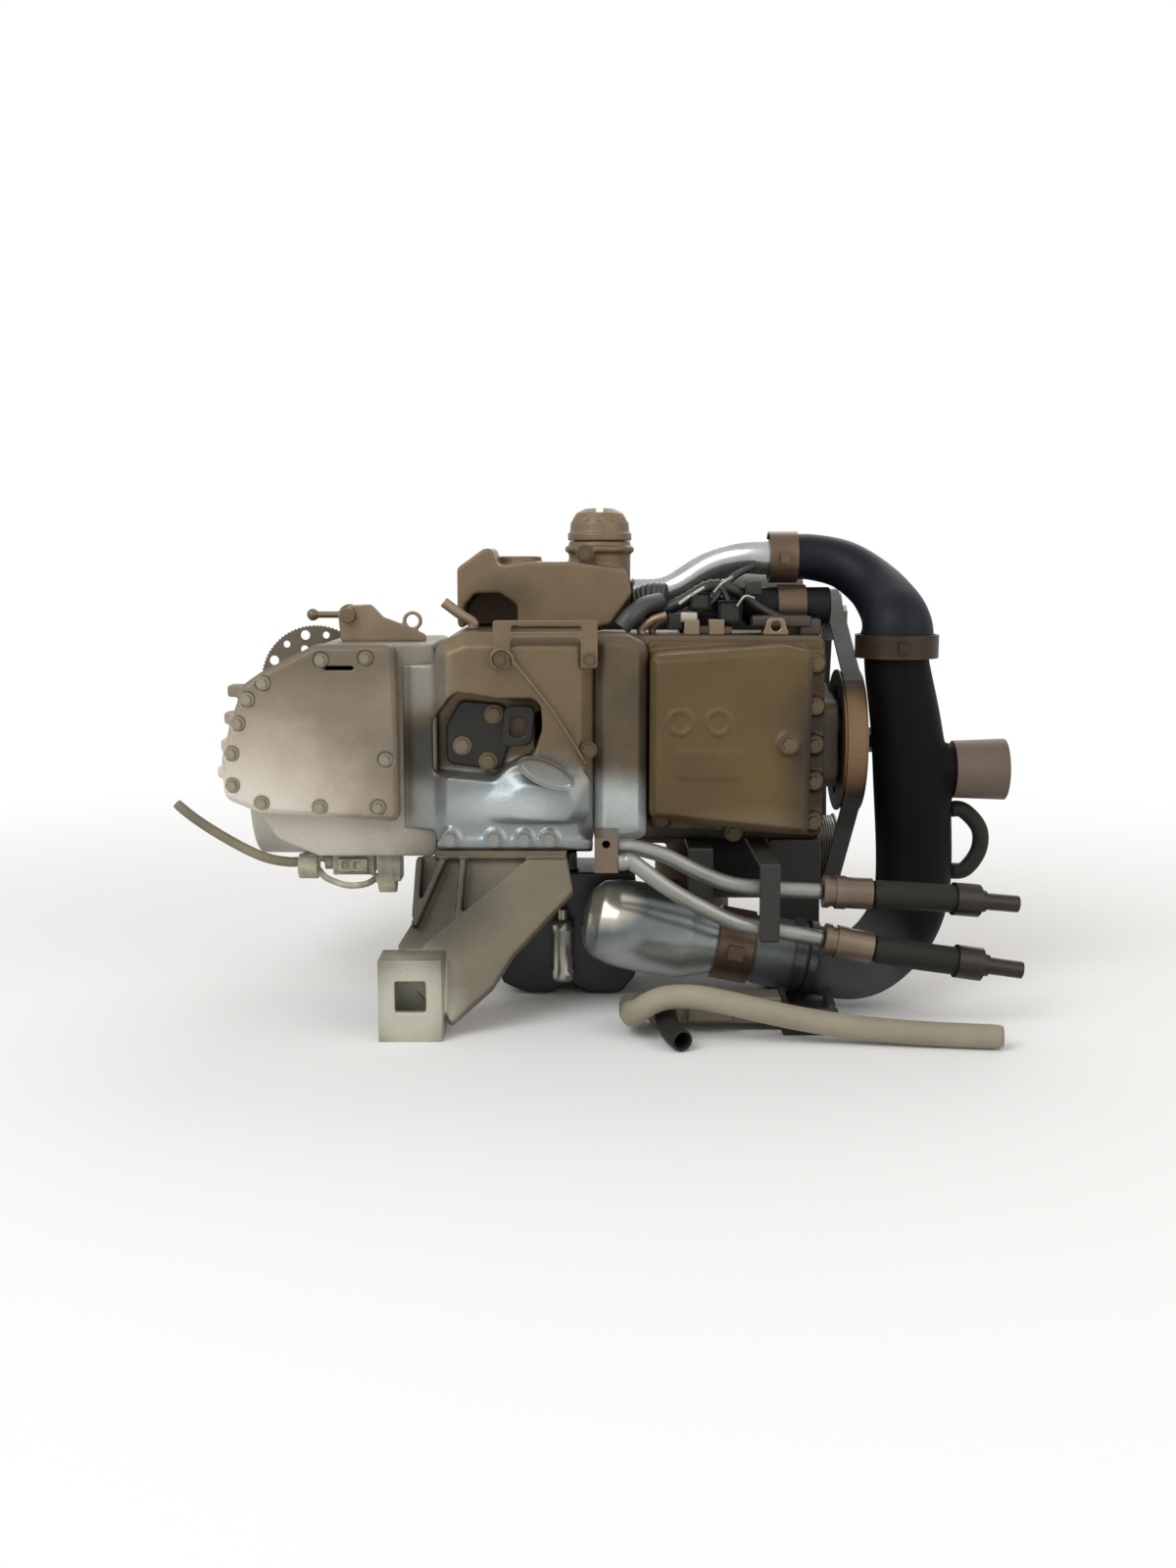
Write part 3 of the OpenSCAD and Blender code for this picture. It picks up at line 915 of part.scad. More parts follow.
module band_clamp() at() color("#847863") can_frame() difference() {
    union() {
        rod_x([can_len - 20, 0, 0], 2 * can_r - 22 + 5, 36);
        translate([can_len - 10, -can_r + 4, -7]) cube([16, 10, 14]);
    }
    turned_x([0, 0, 0], [[can_len - 21, 0], [can_len - 21, can_r - 11.6], [can_len, 31.2], [can_len + 10, 31.2],
        [can_len + 17, 33.9], [can_len + 17, 0]]);
}
module pipe_cuff() at() color("#4a4640") difference() {
    for (k = [0:1]) can_frame() rod_x([can_len + 58 + 15 * k, 0, 0], 79, 8);
    can_frame() rod_x([can_len + 50, 0, 0], 72.3, 50);
}
module can_hanger() at() color("#3a3833") difference() {
    union() {
        block([70, -116, block_lo - 5], [96, -46, block_lo]);
        block([70, -124, 100], [96, -116, block_lo]);
    }
    can_frame() turned_x([0, 0, 0], concat(can_profile(-0.2), [[can_len, 0]]));
    rod_z([83, -58, 100], 9, 90);
}
// Bright lines, their ferrules, hoses and strap
line_y = -186;
line_1 = [[block_x + 24, line_y, 177], [block_x + 31, line_y, 177], [block_x + 42, line_y, 176.6], [block_x + 70, line_y, 169],
    [block_x + 102, line_y, 153], [block_x + 136, line_y, 140], [block_x + 174, line_y, 136],
    [block_x + 225.6, line_y, 133]];
line_2 = [[block_x + 24, line_y - 6, 174], [block_x + 31, line_y - 6, 174], [block_x + 38, line_y - 6, 173.8], [block_x + 70, line_y - 8, 150],
    [block_x + 104, line_y - 6, 130], [block_x + 144, line_y, 111], [block_x + 184, line_y, 104],
    [block_x + 225.6, line_y, 96]];
module upper_line() at() color("#8f938f") tube([for (p = line_1) p + [0, 5, 2]], line_d, 2, 4, 12);
module lower_line() at() color("#8f938f") tube([for (p = line_2) p + [0, -8, -6]], line_d, 2, 4, 12);
module line_fitting() at() color("#a39c8b") difference() {
    block([block_x + 1, -204, 158], [block_x + 23.7, pan_face + 8, 192]);
    rod_y([block_x + 12, -210, 186], 8, 90);
}
ferrule_x = block_x + 226;
module ferrule(p, a) translate(p) rotate([0, a, 0]) difference() {
    union() {
        rod_x([0, 0, 0], line_hose_d + 3, 6);
        rod_x([6, 0, 0], line_hose_d, 6);
        rod_x([12, 0, 0], line_hose_d + 4, 10);
        rod_x([22, 0, 0], line_hose_d + 2, 26);
    }
    rod_x([-1, 0, 0], line_d - 4, 22);
    rod_x([20, 0, 0], line_hose_d - 5, 30);
}
module upper_ferrule() at() color("#8a7d6a") ferrule(line_1[7] + [0.4, 5, 2], 3);
module lower_ferrule() at() color("#8a7d6a") ferrule(line_2[7] + [0.4, -8, -6], 11);
hose_a = [[ferrule_x + 48.6, line_y + 5, 132.4], [ferrule_x + 90, line_y + 7, 130], [ferrule_x + 140, line_y + 14, 125],
    [ferrule_x + 152, line_y + 16, 123.6]];
hose_b = [[ferrule_x + 47.8, line_y - 8, 80.6], [ferrule_x + 92, line_y - 7, 73], [ferrule_x + 140, line_y - 5, 66],
    [ferrule_x + 152, line_y - 4, 64]];
module upper_line_hose() at() color("#3f3d38") tube(hose_a, line_hose_d, 0, 4, 12);
module lower_line_hose() at() color("#3f3d38") tube(hose_b, line_hose_d, 0, 4, 12);
module line_end(p, turn) at() color("#8a7d6a") translate(p) rotate(turn) difference() {
    union() {
        rod_x([-22, 0, 0], line_hose_d + 4, 26);
        rod_x([3, 0, 0], 22, 8);
        rod_x([10, 0, 0], line_d, 36);
    }
    rod_x([-23, 0, 0], line_hose_d + 1, 23.6);
    rod_x([4, 0, 0], line_d - 4, 50);
}
module line_end_fittings() {
    line_end(hose_a[3], [0, 6.5, 9]);
    line_end(hose_b[3], [0, 9, 4]);
}
module line_strap() at() color("#1f1d1a") {
    block([block_x + 161, -211, 90], [block_x + 181, -206, block_lo - 1]);
    block([block_x + 161, -211, block_lo - 5], [block_x + 181, -44, block_lo]);
}
// Moulded coolant hose and bent vent pipe
coolant_path = [[11.5, -218.3, 22], [11.5, -222, 22], [11.5, -228, 22], [20, -239, 33], [42, -244, 45], [76, -245, 45],
    [120, -244, 35], [170, -245, 24], [230, -250, 16], [300, -258, 12.5], [362, -266, 12.5]];
vent_path = [[-329.8, -98, 149], [-335, -98, 149], [-342, -98, 149], [-366, -101, 154], [-400, -104, 172], [-436, -106, 196], [-454, -106, 212]];
module coolant_hose() at() color("#433e33") tube(coolant_path, coolant_d, 4, 2, 14, [0, 0, 1]);
module vent_pipe() at() color("#8a8270") tube(vent_path, vent_d, 2, 2, 10);

// Mount bracket: a ribbed web that slopes forward to a foot with a square window
web_top = 163;
web_slope = 24;
bracket_bolt_x = [bell_x + 14, bell_x + 64, bell_x + 114];
bracket_bolt_y = -128;
module sloped() translate([0, -148.7, web_top + 3]) rotate([-web_slope, 0, 0]) children();
foot_x = [gearbox_x + 158, gearbox_x + 220];
foot_y = [-242, -196];
foot_top = 80;
arm_points = [[bell_x + 102, 0], [bell_x + 132, 0], [bell_x + 139, -40], [bell_x + 80, -104],
    [bell_x + 60, -136], [bell_x + 20, -172], [bell_x - 8, -94]];
web_points = [[bell_x - 14, 0], [bell_x + 132, 0], [bell_x + 139, -40], [bell_x + 80, -104],
    [bell_x + 60, -136], [bell_x + 20, -172], [bell_x - 30, -120], [bell_x - 34, -92], [bell_x - 20, -68], [bell_x - 16, -38]];
module rib(a, b, w, h) sloped() front(-h, 1) translate(a)
    rotate(atan2(b[1] - a[1], b[0] - a[0])) translate([0, -w / 2]) square([norm(b - a), w]);
module mount_bracket() at() color("#4a443a") difference() {
    union() {
        block([bell_x + 0.5, -158, web_top], [bell_x + 132, -104, web_top + bracket_t]);
        intersection() {
            union() {
                sloped() front(0, bracket_t) outline(web_points, 3);
                sloped() front(-14, 1) outline(arm_points, 4);
                rib([bell_x + 14, 4], [bell_x - 18, -74], 6, 14);
                rib([bell_x + 30, 4], [bell_x + 22, -110], 6, 14);
                rib([bell_x - 14, 4], [bell_x - 17, -66], 6, 14);
                rib([bell_x + 20, -100], [bell_x - 26, -100], 6, 14);
            }
            block([bell_x - 200, -300, 0], [bell_x + 300, 0, web_top + 1]);
        }
        difference() {
            block([foot_x[0], foot_y[0], 0], [foot_x[1], foot_y[1], foot_top]);
            block([foot_x[0] + bracket_t, foot_y[0] + bracket_t, bracket_t],
                [foot_x[1] - bracket_t, foot_y[1] - bracket_t, foot_top - bracket_t]);
        }
    }
    block([(foot_x[0] + foot_x[1] - window) / 2, foot_y[0] - 1, (foot_top - window) / 2 + 4],
        [(foot_x[0] + foot_x[1] + window) / 2, foot_y[0] + bracket_t + 1, (foot_top + window) / 2 + 4]);
    for (x = bracket_bolt_x) rod_z([x, bracket_bolt_y, web_top - 1], 9, bracket_t + 2);
    rod_z([foot_x[0] + 18, foot_y[0] + 26, -1], mount_bolt_d + 1, bracket_t + 2);
}
module bolt_up(p, d) {
    rod_z(p - [0, 0, 2], d + 4, 2);
    translate(p - [0, 0, 8]) cylinder(d = d, h = 6, $fn = 6);
    rod_z(p, d * 0.55, 16);
}
module bracket_bolts() at() color("#8d8676") for (x = bracket_bolt_x) bolt_up([x, bracket_bolt_y, web_top], 14);
wedge_x = [block_end - 56, block_end - 2];
module wedge_foot() at() color("#4e4234") difference() {
    union() {
        block([wedge_x[0], -76, 0], [wedge_x[1], -76 + bracket_t, block_lo]);
        block([wedge_x[0], -76, block_lo - bracket_t], [wedge_x[1], -40, block_lo]);
        for (x = [wedge_x[0], wedge_x[1] - bracket_t]) side(x, x + bracket_t) {
            polygon([[-220, 0], [-162, 0], [-162, 34], [-205, 26]]);
            polygon([[-72, 0], [-30, 0], [-30, 10], [-72, 130]]);
        }
        block([wedge_x[0], -220, 0], [wedge_x[1], -30, bracket_t]);
        block([wedge_x[0], -220, 0], [wedge_x[1], -212, 26]);
    }
    for (x = wedge_bolt_x) rod_z([x, -56, block_lo - 20], 9, 30);
    rod_z([(wedge_x[0] + wedge_x[1]) / 2, -190, -1], mount_bolt_d + 1, bracket_t + 2);
}
module wedge_bolts() at() color("#8d8676") for (x = wedge_bolt_x) bolt_up([x, -56, block_lo - bracket_t], 14);
module rear_foot_bolts() at() color("#8d8676") for (y = foot_bolt_y)
    bolt_up([rear_foot_p[0], y, bell_lo - bracket_t], 12);
valve_x = [block_x + 62, wedge_x[0]];
module valve_body() at() color("#8b8474") difference() {
    union() {
        block([valve_x[0], -206, 8], [valve_x[1], -172, 34]);
        rod_y([valve_x[0] + 8, -208, 20], 36, 34);
        rod_x([valve_x[0] - 24, -195, 20], 22, 24);
        for (x = [valve_x[0] + 40, valve_x[0] + 60]) rod_z([x, -192, 30], 14, 10);
        block([valve_x[0] + 30, -214, 12], [valve_x[0] + 74, -204, 28]);
    }
    rod_y([valve_x[0] + 8, -210, 20], 18, 12);
}
module drain_hose() at() color("#242321") tube([[valve_x[0] + 8, -208.3, 20], [valve_x[0] + 8, -214, 20], [valve_x[0] + 8, -224, 20],
    [valve_x[0] + 12, -250, 13], [valve_x[0] + 22, -276.7, 11.2]], 22, 3, 3, 12, [0, 0, 1]);
module coolant_elbow() at() color("#6d6250") difference() {
    rod_y([valve_x[0] - 24, -218, 22], 26, 28);
    rod_x([valve_x[0] - 24, -195, 20], 22.4, 30);
}
// Low shield and its stud behind the bracket
shield_hi = 132;
module low_shield() at() color("#141414") difference() {
    front(-70, 20) outline([[bell_x + 60, shield_hi], [bell_x + 62, 14], [bell_x + 86, 3, 14], [bell_x + 116, 3, 14],
        [bell_x + 134, 14, 6], [bell_x + 154, 2, 16], [bell_x + 188, 2, 16], [bell_x + 204, 22], [bell_x + 204, shield_hi]], 8);
    front(-64, 21) outline([[bell_x + 66, shield_hi - 6], [bell_x + 68, 18], [bell_x + 90, 9], [bell_x + 114, 9],
        [bell_x + 134, 20], [bell_x + 158, 8], [bell_x + 186, 8], [bell_x + 198, 26], [bell_x + 198, shield_hi - 6]], 5);
}
stud_x = bell_x + 134;
module shield_studs() at() color("#c4c1b8") for (x = [stud_x, bell_x + 108]) {
    rod_z([x, -52, shield_hi], 16, crank_z - sqrt(bell_r * bell_r - 44 * 44) - shield_hi - 0.2);
}
module plug_pale() at() color("#c9bfa5") difference() {
    union() {
        block([gearbox_x + 98, -112, 138], [gearbox_x + 140, -84, 159]);
        block([gearbox_x + 104, -118, 142], [gearbox_x + 134, -112, 156]);
        rod_x([gearbox_x + 88, -98, 149], 15, 12);
    }
    for (x = [gearbox_x + 108, gearbox_x + 120]) block([x, -119, 145], [x + 7, -114, 153]);
}
module plug_dark() at() color("#2a2823") {
    rod_x([gearbox_x + 62, -104, 146], 26, 20);
    rod_z([gearbox_x + 76, -100, 150], 20, 10);
    block([gearbox_x + 144, -116, 132], [gearbox_x + 168, -88, 160]);
    rod_x([gearbox_x + 144, -102, 132], 28, 18);
}
module plug_lead() at() color("#3a362e") tube([[gearbox_x + 82.3, -104, 142], [gearbox_x + 92, -118, 136],
    [gearbox_x + 114, -126, 130], [gearbox_x + 134, -122, 131], [gearbox_x + 143.7, -104, 136]], 7, 0, 4, 8, [0, 0, 1]);
module lifting_eye() at() color("#8a7a5e") difference() {
    union() {
        front(-64, -58) outline([[block_x + 176, block_hi, 1], [block_x + 202, block_hi, 1], [block_x + 198, block_hi + 18],
            [block_x + 180, block_hi + 18]], 6);
        block([block_x + 176, -64, block_hi], [block_x + 202, -40, block_hi + 5]);
    }
    rod_y([block_x + 189, -66, block_hi + 9], 10, 12);
    rod_z([block_x + 189, -48, block_hi - 1], 9, 8);
}
module pipe_clips() at() color("#b3a468") {
    for (x = [block_x + 94, block_x + 120]) difference() {
        block([x, -62, block_hi], [x + 16, -44, block_hi + 16]);
        rod_x([x - 1, -53, block_hi + 11], 9, 20);
        block([x - 1, -57, block_hi + 11], [x + 17, -49, block_hi + 17]);
    }
    block([block_x + 104, -40, block_hi], [block_x + 146, -24, block_hi + 8]);
}
module link_rods() at() color("#625b50") {
    tube([[block_x + 50, -56, block_hi + 0.3], [block_x + 50, -56, block_hi + 3], [block_x + 50, -56, block_hi + 6], [block_x + 62, -58, block_hi + 16],
        [block_x + 76, -58, block_hi + 20]], 9, 0, 3, 8);
    tube([[block_x + 62, -36, block_hi + 0.3], [block_x + 62, -36, block_hi + 3], [block_x + 62, -36, block_hi + 6], [block_x + 72, -38, block_hi + 14],
        [block_x + 84, -38, block_hi + 17]], 8, 0, 3, 8);
}
module bypass_valve() at() color("#26241f") {
    block([block_x + 92, -18, block_hi], [block_x + 146, 30, block_hi + 20]);
    rod_z([block_x + 120, 6, block_hi + 18], 38, 20);
    rod_x([block_x + 140, -3, block_hi + 27.5], 33, 22);
    rod_x([block_x + 156, -3, block_hi + 27.5], 31, 14);
}
module recirculation_hose() at() color("#23252a") tube([[block_x + 162.3, -3, block_hi + 27.5],
    [block_x + 190, -3, block_hi + 27.5], [block_x + 228, -3, block_hi + 27.5], [block_x + 252, -3, block_hi + 27.5]], 42, 4, 1, 20);
module hose_band() at() color("#7b7160") difference() {
    union() {
        rod_x([block_x + 196, -3, block_hi + 27.5], 47, 30);
        block([block_x + 202, -18, block_hi], [block_x + 220, 12, block_hi + 12]);
    }
    rod_x([block_x + 195, -3, block_hi + 27.5], 43.2, 32);
}

// Bolts of one kind, and small like pieces, each keep their own solids in a shared group
module front_bolts() {
    cover_bolts();
    bell_bolts();
    plate_bolts();
    pan_bolts();
    drain_plug();
    guide_bolts();
    turret_bolt();
}
module mount_bolts() {
    bracket_bolts();
    wedge_bolts();
    rear_foot_bolts();
    catalyst_bolts();
    selector_bolts();
    tensioner_pivot();
}
module gearbox_shell() {
    gearbox_case();
    bearing_plate();
}
module recess_cover() {
    recess_plate();
    recess_strap();
}
module flywheel_clutch() {
    flywheel();
    clutch_cover();
}
module belt_pulley() {
    crank_pulley();
    pulley_bolt();
}
module head() {
    cylinder_head();
    head_gasket();
}
module upper_cam() {
    camshaft_upper();
    cam_sprocket_upper();
}
module lower_cam() {
    camshaft_lower();
    cam_sprocket_lower();
}
module alternator_rotor() {
    alternator_pulley();
    alternator_shaft();
    rotor();
}
module compressor_drive() {
    compressor_pulley();
    compressor_shaft();
}
module exhaust() {
    exhaust_manifold();
    catalyst();
}
module drive_shaft() {
    input_shaft();
    clutch_disc();
}
module top_guide() {
    guide_frame();
    retaining_rod();
}
module top_fittings() {
    lifting_eye();
    pipe_clips();
    link_rods();
    breather_pipe();
}
module hose_clamps() {
    upper_clamp();
    lower_clamp();
    hose_band();
    pipe_cuff();
    band_clamp();
}
module short_hoses() {
    loop_hose();
    drain_hose();
    upper_line_hose();
    lower_line_hose();
}
module bright_lines() {
    upper_line();
    lower_line();
}
module line_ends() {
    line_fitting();
    upper_ferrule();
    lower_ferrule();
    line_end_fittings();
}
module straps() {
    line_strap();
    can_hanger();
}
module valve_block() {
    valve_body();
    coolant_elbow();
}
module shield() {
    low_shield();
    shield_studs();
}
module plugs() {
    plug_pale();
    plug_dark();
    plug_lead();
}
module recirculation() {
    bypass_valve();
    recirculation_hose();
}

gearbox_shell();
gearbox_cover();
bell_housing();
recess_cover();
engine_block();
oil_pan();
front_bolts();
crankshaft();
flywheel_clutch();
belt_pulley();
piston_1();
piston_2();
piston_3();
head();
upper_cam();
lower_cam();
cam_cover();
ignition_coils();
timing_chain();
timing_cover();
accessory_belt();
alternator();
alternator_rotor();
compressor();
compressor_drive();
tensioner_arm();
tensioner_roller();
intake_manifold();
exhaust();
drive_shaft();
output_shaft();
differential();
rear_foot();
mount_bracket();
wedge_foot();
mount_bolts();
actuator();
filter_cap();
top_guide();
selector_bracket();
selector_lever();
perforated_disc();
top_fittings();
charge_pipe();
elbow_hose();
hose_clamps();
charge_duct();
hose_stub();
domed_can();
lower_pipe();
recirculation();
bright_lines();
line_ends();
straps();
short_hoses();
valve_block();
shield();
plugs();
coolant_hose();
vent_pipe();
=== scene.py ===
"""Car engine with its gearbox, dressed for a studio view: castings, belt drive, pipes, hoses and brackets."""

import json
import math

import bmesh
import bpy
from mathutils import Matrix, Vector


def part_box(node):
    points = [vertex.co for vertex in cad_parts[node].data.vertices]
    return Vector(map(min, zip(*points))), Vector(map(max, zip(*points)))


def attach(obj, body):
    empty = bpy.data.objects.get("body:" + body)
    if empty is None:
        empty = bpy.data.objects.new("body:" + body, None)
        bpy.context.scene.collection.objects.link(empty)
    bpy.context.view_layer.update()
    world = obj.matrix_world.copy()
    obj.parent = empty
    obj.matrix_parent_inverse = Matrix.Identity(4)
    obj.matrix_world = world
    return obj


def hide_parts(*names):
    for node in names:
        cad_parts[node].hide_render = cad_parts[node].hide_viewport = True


bl_info = {
    "name": "Car engine",
    "version": (1, 0, 0),
    "blender": (4, 5, 0),
    "location": "3D View > Sidebar > Engine",
    "description": "Dresses a small car engine and its gearbox",
    "category": "Object",
}

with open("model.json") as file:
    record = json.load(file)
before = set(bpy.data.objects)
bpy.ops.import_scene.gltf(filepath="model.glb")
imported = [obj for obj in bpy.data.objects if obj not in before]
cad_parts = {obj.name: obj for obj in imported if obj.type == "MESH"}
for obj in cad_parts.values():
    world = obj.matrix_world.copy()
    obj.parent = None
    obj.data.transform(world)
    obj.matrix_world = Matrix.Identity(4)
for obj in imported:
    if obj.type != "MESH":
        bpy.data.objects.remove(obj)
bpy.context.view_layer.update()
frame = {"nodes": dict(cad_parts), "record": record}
BODY_OF = {n: b for b, names in frame["record"]["behaviour"]["bodies"].items() for n in names}
MAIN_BODY = "unit"
MATERIALS = {}

MERGE_GAP = 0.00002  # vertices nearer to each other than this are one
CRISP_TURN = math.radians(40)  # edges of made pieces that turn further than this stay crisp
ROUND_PROFILE = 0.5  # a bevel's profile that is part of a circle
JOIN_BEND, JOIN_SKEW = 0.6, 1.2  # most that two triangles may bend and skew, in radians, to become one face

# Surfaces: where the three tones of the stains sit on their noise, how the fine noise lightens and darkens,
# the height of the fine relief, the noise along a patch's edge and how far from its middle a patch fades
STAIN_STOPS = (0.32, 0.5, 0.68)
STAIN_SPAN = (0.3, 0.7)
SPECKS = ((0.3, (0.78, 0.78, 0.78)), (0.55, (1.0, 1.0, 1.0)), (0.75, (1.08, 1.08, 1.08)))
SPECK_STRENGTH = 0.5
RELIEF_HEIGHT = 0.0006
EDGE_NOISE = 28.0
PATCH_CORE, PATCH_RIM = 0.35, 1.0

# Stage: what the camera looks at, the floor's half width, how far out it turns white, and the sky's level
TARGET = Vector((-0.00485, -0.162, 0.232))
FLOOR_SIZE = 6.0
FLOOR_FADE = (0.55, 1.7)
SKY_LEVEL = 0.55
LAMP_AIM = Vector((0, 0, 0.25))
LAMPS = (
    # name, place, size, power, tint
    ("Key", (-1.3, -1.9, 2.1), 1.6, 42, (0.93, 0.97, 1.0)),
    ("Fill", (1.7, -1.6, 1.2), 1.8, 14, (1.0, 0.95, 0.88)),
    ("Back", (0.4, 1.9, 1.8), 1.8, 22, (1.0, 0.98, 0.95)),
)


# ---- finishes ----------------------------------------------------------------------------------


def wire(tree, value, socket):
    """Links a socket's output to the socket, or sets a plain value on it."""
    if isinstance(value, bpy.types.NodeSocket):
        tree.links.new(value, socket)
    else:
        socket.default_value = value


def calc(tree, kind, operation, *values):
    """Outputs of a Math or Vector Math node on sockets or plain values."""
    node = tree.nodes.new(kind)
    node.operation = operation
    for value, socket in zip(values, node.inputs):
        wire(tree, value, socket)
    return node.outputs


def mapped(tree, value, start, end, low=0.0, high=1.0, kind="SMOOTHSTEP"):
    """A value between start and end brought to between low and high."""
    node = tree.nodes.new("ShaderNodeMapRange")
    node.interpolation_type = kind
    for amount, socket in zip((value, start, end, low, high), node.inputs):
        wire(tree, amount, socket)
    return node.outputs[0]


def ramp(tree, value, stops):
    """Colour ramp over a value, from (place, colour) stops."""
    node = tree.nodes.new("ShaderNodeValToRGB")
    first, last = node.color_ramp.elements
    first.position, first.color = stops[0][0], (*stops[0][1], 1)
    last.position, last.color = stops[-1][0], (*stops[-1][1], 1)
    for place, colour in stops[1:-1]:
        node.color_ramp.elements.new(place).color = (*colour, 1)
    tree.links.new(value, node.inputs[0])
    return node.outputs[0]


def linear(colour):
    """Screen colour to the light values that a shader takes."""
    return tuple(c / 12.92 if c <= 0.04045 else ((c + 0.055) / 1.055) ** 2.4 for c in colour)


def tones(colour, spread=0.10):
    """Dark, middle and light tone of a colour."""
    middle = tuple(colour)
    dark = tuple(v * (1 - 1.6 * spread) for v in middle)
    return [dark, middle, tuple(min(1, v * (1 + 1.2 * spread)) for v in middle)]


def noise(tree, vector, scale, detail=4.0, rough=0.55):
    """Fractal noise at this many features a metre."""
    node = tree.nodes.new("ShaderNodeTexNoise")
    node.inputs["Scale"].default_value = scale
    node.inputs["Detail"].default_value = detail
    node.inputs["Roughness"].default_value = rough
    tree.links.new(vector, node.inputs["Vector"])
    return node.outputs["Fac"]


def blend_colour(tree, factor, under, over, kind="MIX"):
    """Lays colour over on colour under; over is a socket or a plain colour."""
    node = tree.nodes.new("ShaderNodeMix")
    node.data_type, node.blend_type, node.clamp_factor = "RGBA", kind, True
    factor_in, under_in, over_in = node.inputs[0], node.inputs[6], node.inputs[7]
    wire(tree, factor, factor_in)
    wire(tree, under, under_in)
    wire(tree, (*over, 1) if isinstance(over, tuple) else over, over_in)
    return node.outputs[2]


def patch(tree, place, centre, reach, ragged):
    """1 inside an ellipsoid of the object's space and 0 outside it, with a ragged soft edge."""
    away = calc(tree, "ShaderNodeVectorMath", "SUBTRACT", place, centre)[0]
    scaled = calc(tree, "ShaderNodeVectorMath", "DIVIDE", away, reach)[0]
    size = calc(tree, "ShaderNodeVectorMath", "LENGTH", scaled)["Value"]
    rough = calc(tree, "ShaderNodeMath", "MULTIPLY_ADD", noise(tree, place, EDGE_NOISE, 3.0), ragged, size)[0]
    return mapped(tree, rough, PATCH_CORE + ragged / 2, PATCH_RIM + ragged / 2, 1.0, 0.0)


def surface(name, stain_tones, patches=(), metal=0.0, rough=(0.45, 0.65), grain=420.0, relief=0.25,
            stains=9.0, specular=0.5, polish=None):
    """A worn surface: three tones in cloudy stains, ellipsoid patches of other tones, most of them painted
    highlights and painted shade, and fine relief.

    A patch is its centre, reach, tone, strength and raggedness. Polish is the roughness inside the first.
    """
    if name in MATERIALS:
        return MATERIALS[name]
    mat = bpy.data.materials.new(name)
    mat.use_nodes = True
    tree = mat.node_tree
    shader = tree.nodes["Principled BSDF"]
    place = tree.nodes.new("ShaderNodeTexCoord").outputs["Object"]
    cloud = noise(tree, place, stains, 6.0, 0.62)
    fine = noise(tree, place, grain, 3.0, 0.6)
    colour = ramp(tree, cloud, [(stop, linear(tone)) for stop, tone in zip(STAIN_STOPS, stain_tones)])
    polished = None
    for centre, reach, tone, strength, ragged in patches:
        level = calc(tree, "ShaderNodeMath", "MULTIPLY", patch(tree, place, centre, reach, ragged),
                     strength)[0]
        colour = blend_colour(tree, level, colour, linear(tone))
        if polished is None:
            polished = level
    colour = blend_colour(tree, SPECK_STRENGTH, colour, ramp(tree, fine, SPECKS), "MULTIPLY")
    tree.links.new(colour, shader.inputs["Base Color"])
    roughness = mapped(tree, cloud, *STAIN_SPAN, *rough, kind="LINEAR")
    if polish is not None:
        shine = tree.nodes.new("ShaderNodeMix")
        for value, socket in zip((polished, roughness, polish), (shine.inputs[0], *shine.inputs[2:4])):
            wire(tree, value, socket)
        roughness = shine.outputs[0]
    tree.links.new(roughness, shader.inputs["Roughness"])
    shader.inputs["Metallic"].default_value = metal
    shader.inputs["Specular IOR Level"].default_value = specular
    bump = tree.nodes.new("ShaderNodeBump")
    bump.inputs["Strength"].default_value = relief
    bump.inputs["Distance"].default_value = RELIEF_HEIGHT
    tree.links.new(fine, bump.inputs["Height"])
    tree.links.new(bump.outputs[0], shader.inputs["Normal"])
    MATERIALS[name] = mat
    return mat


# ---- making pieces -----------------------------------------------------------------------------


def settled(obj):
    """Applies the piece's modifiers to its mesh."""
    graph = bpy.context.evaluated_depsgraph_get()
    mesh = bpy.data.meshes.new_from_object(obj.evaluated_get(graph))
    obj.modifiers.clear()
    old, obj.data = obj.data, mesh
    bpy.data.meshes.remove(old)
    return obj


def piece_of(node, name, joined=False):
    """A new piece with a merged copy of the node's mesh; joined makes four-sided faces of its triangles."""
    bm = bmesh.new()
    bm.from_mesh(frame["nodes"][node].data)
    bmesh.ops.remove_doubles(bm, verts=bm.verts, dist=MERGE_GAP)
    if joined:
        bmesh.ops.join_triangles(bm, faces=bm.faces, angle_face_threshold=JOIN_BEND,
                                 angle_shape_threshold=JOIN_SKEW)
    mesh = bpy.data.meshes.new(name)
    bm.to_mesh(mesh)
    bm.free()
    obj = bpy.data.objects.new(name, mesh)
    bpy.context.scene.collection.objects.link(obj)
    return obj


def seated(obj, node, material):
    """Gives the piece its finish and its body, and hides the node that it stands for."""
    obj.data.materials.clear()
    obj.data.materials.append(material)
    obj.data.polygons.foreach_set("use_smooth", [True] * len(obj.data.polygons))
    obj.data.update()
    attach(obj, BODY_OF[node])
    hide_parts(node)
    return obj


def casting(node, material, grain_size, rounds=3, keep=0.4):
    """A cast piece: the node's shape with every edge rounded as a mould leaves it.

    grain_size is its smallest form, rounds how often it is smoothed and keep the share of faces kept.
    """
    obj = piece_of(node, node + "_cast")
    remesh = obj.modifiers.new("Grain", "REMESH")
    remesh.mode, remesh.voxel_size, remesh.adaptivity = "VOXEL", grain_size, 0.0
    soften = obj.modifiers.new("Soften", "SMOOTH")
    soften.factor, soften.iterations = 0.5, rounds
    thin = obj.modifiers.new("Thin", "DECIMATE")
    thin.ratio = keep
    settled(obj)
    return seated(obj, node, material)


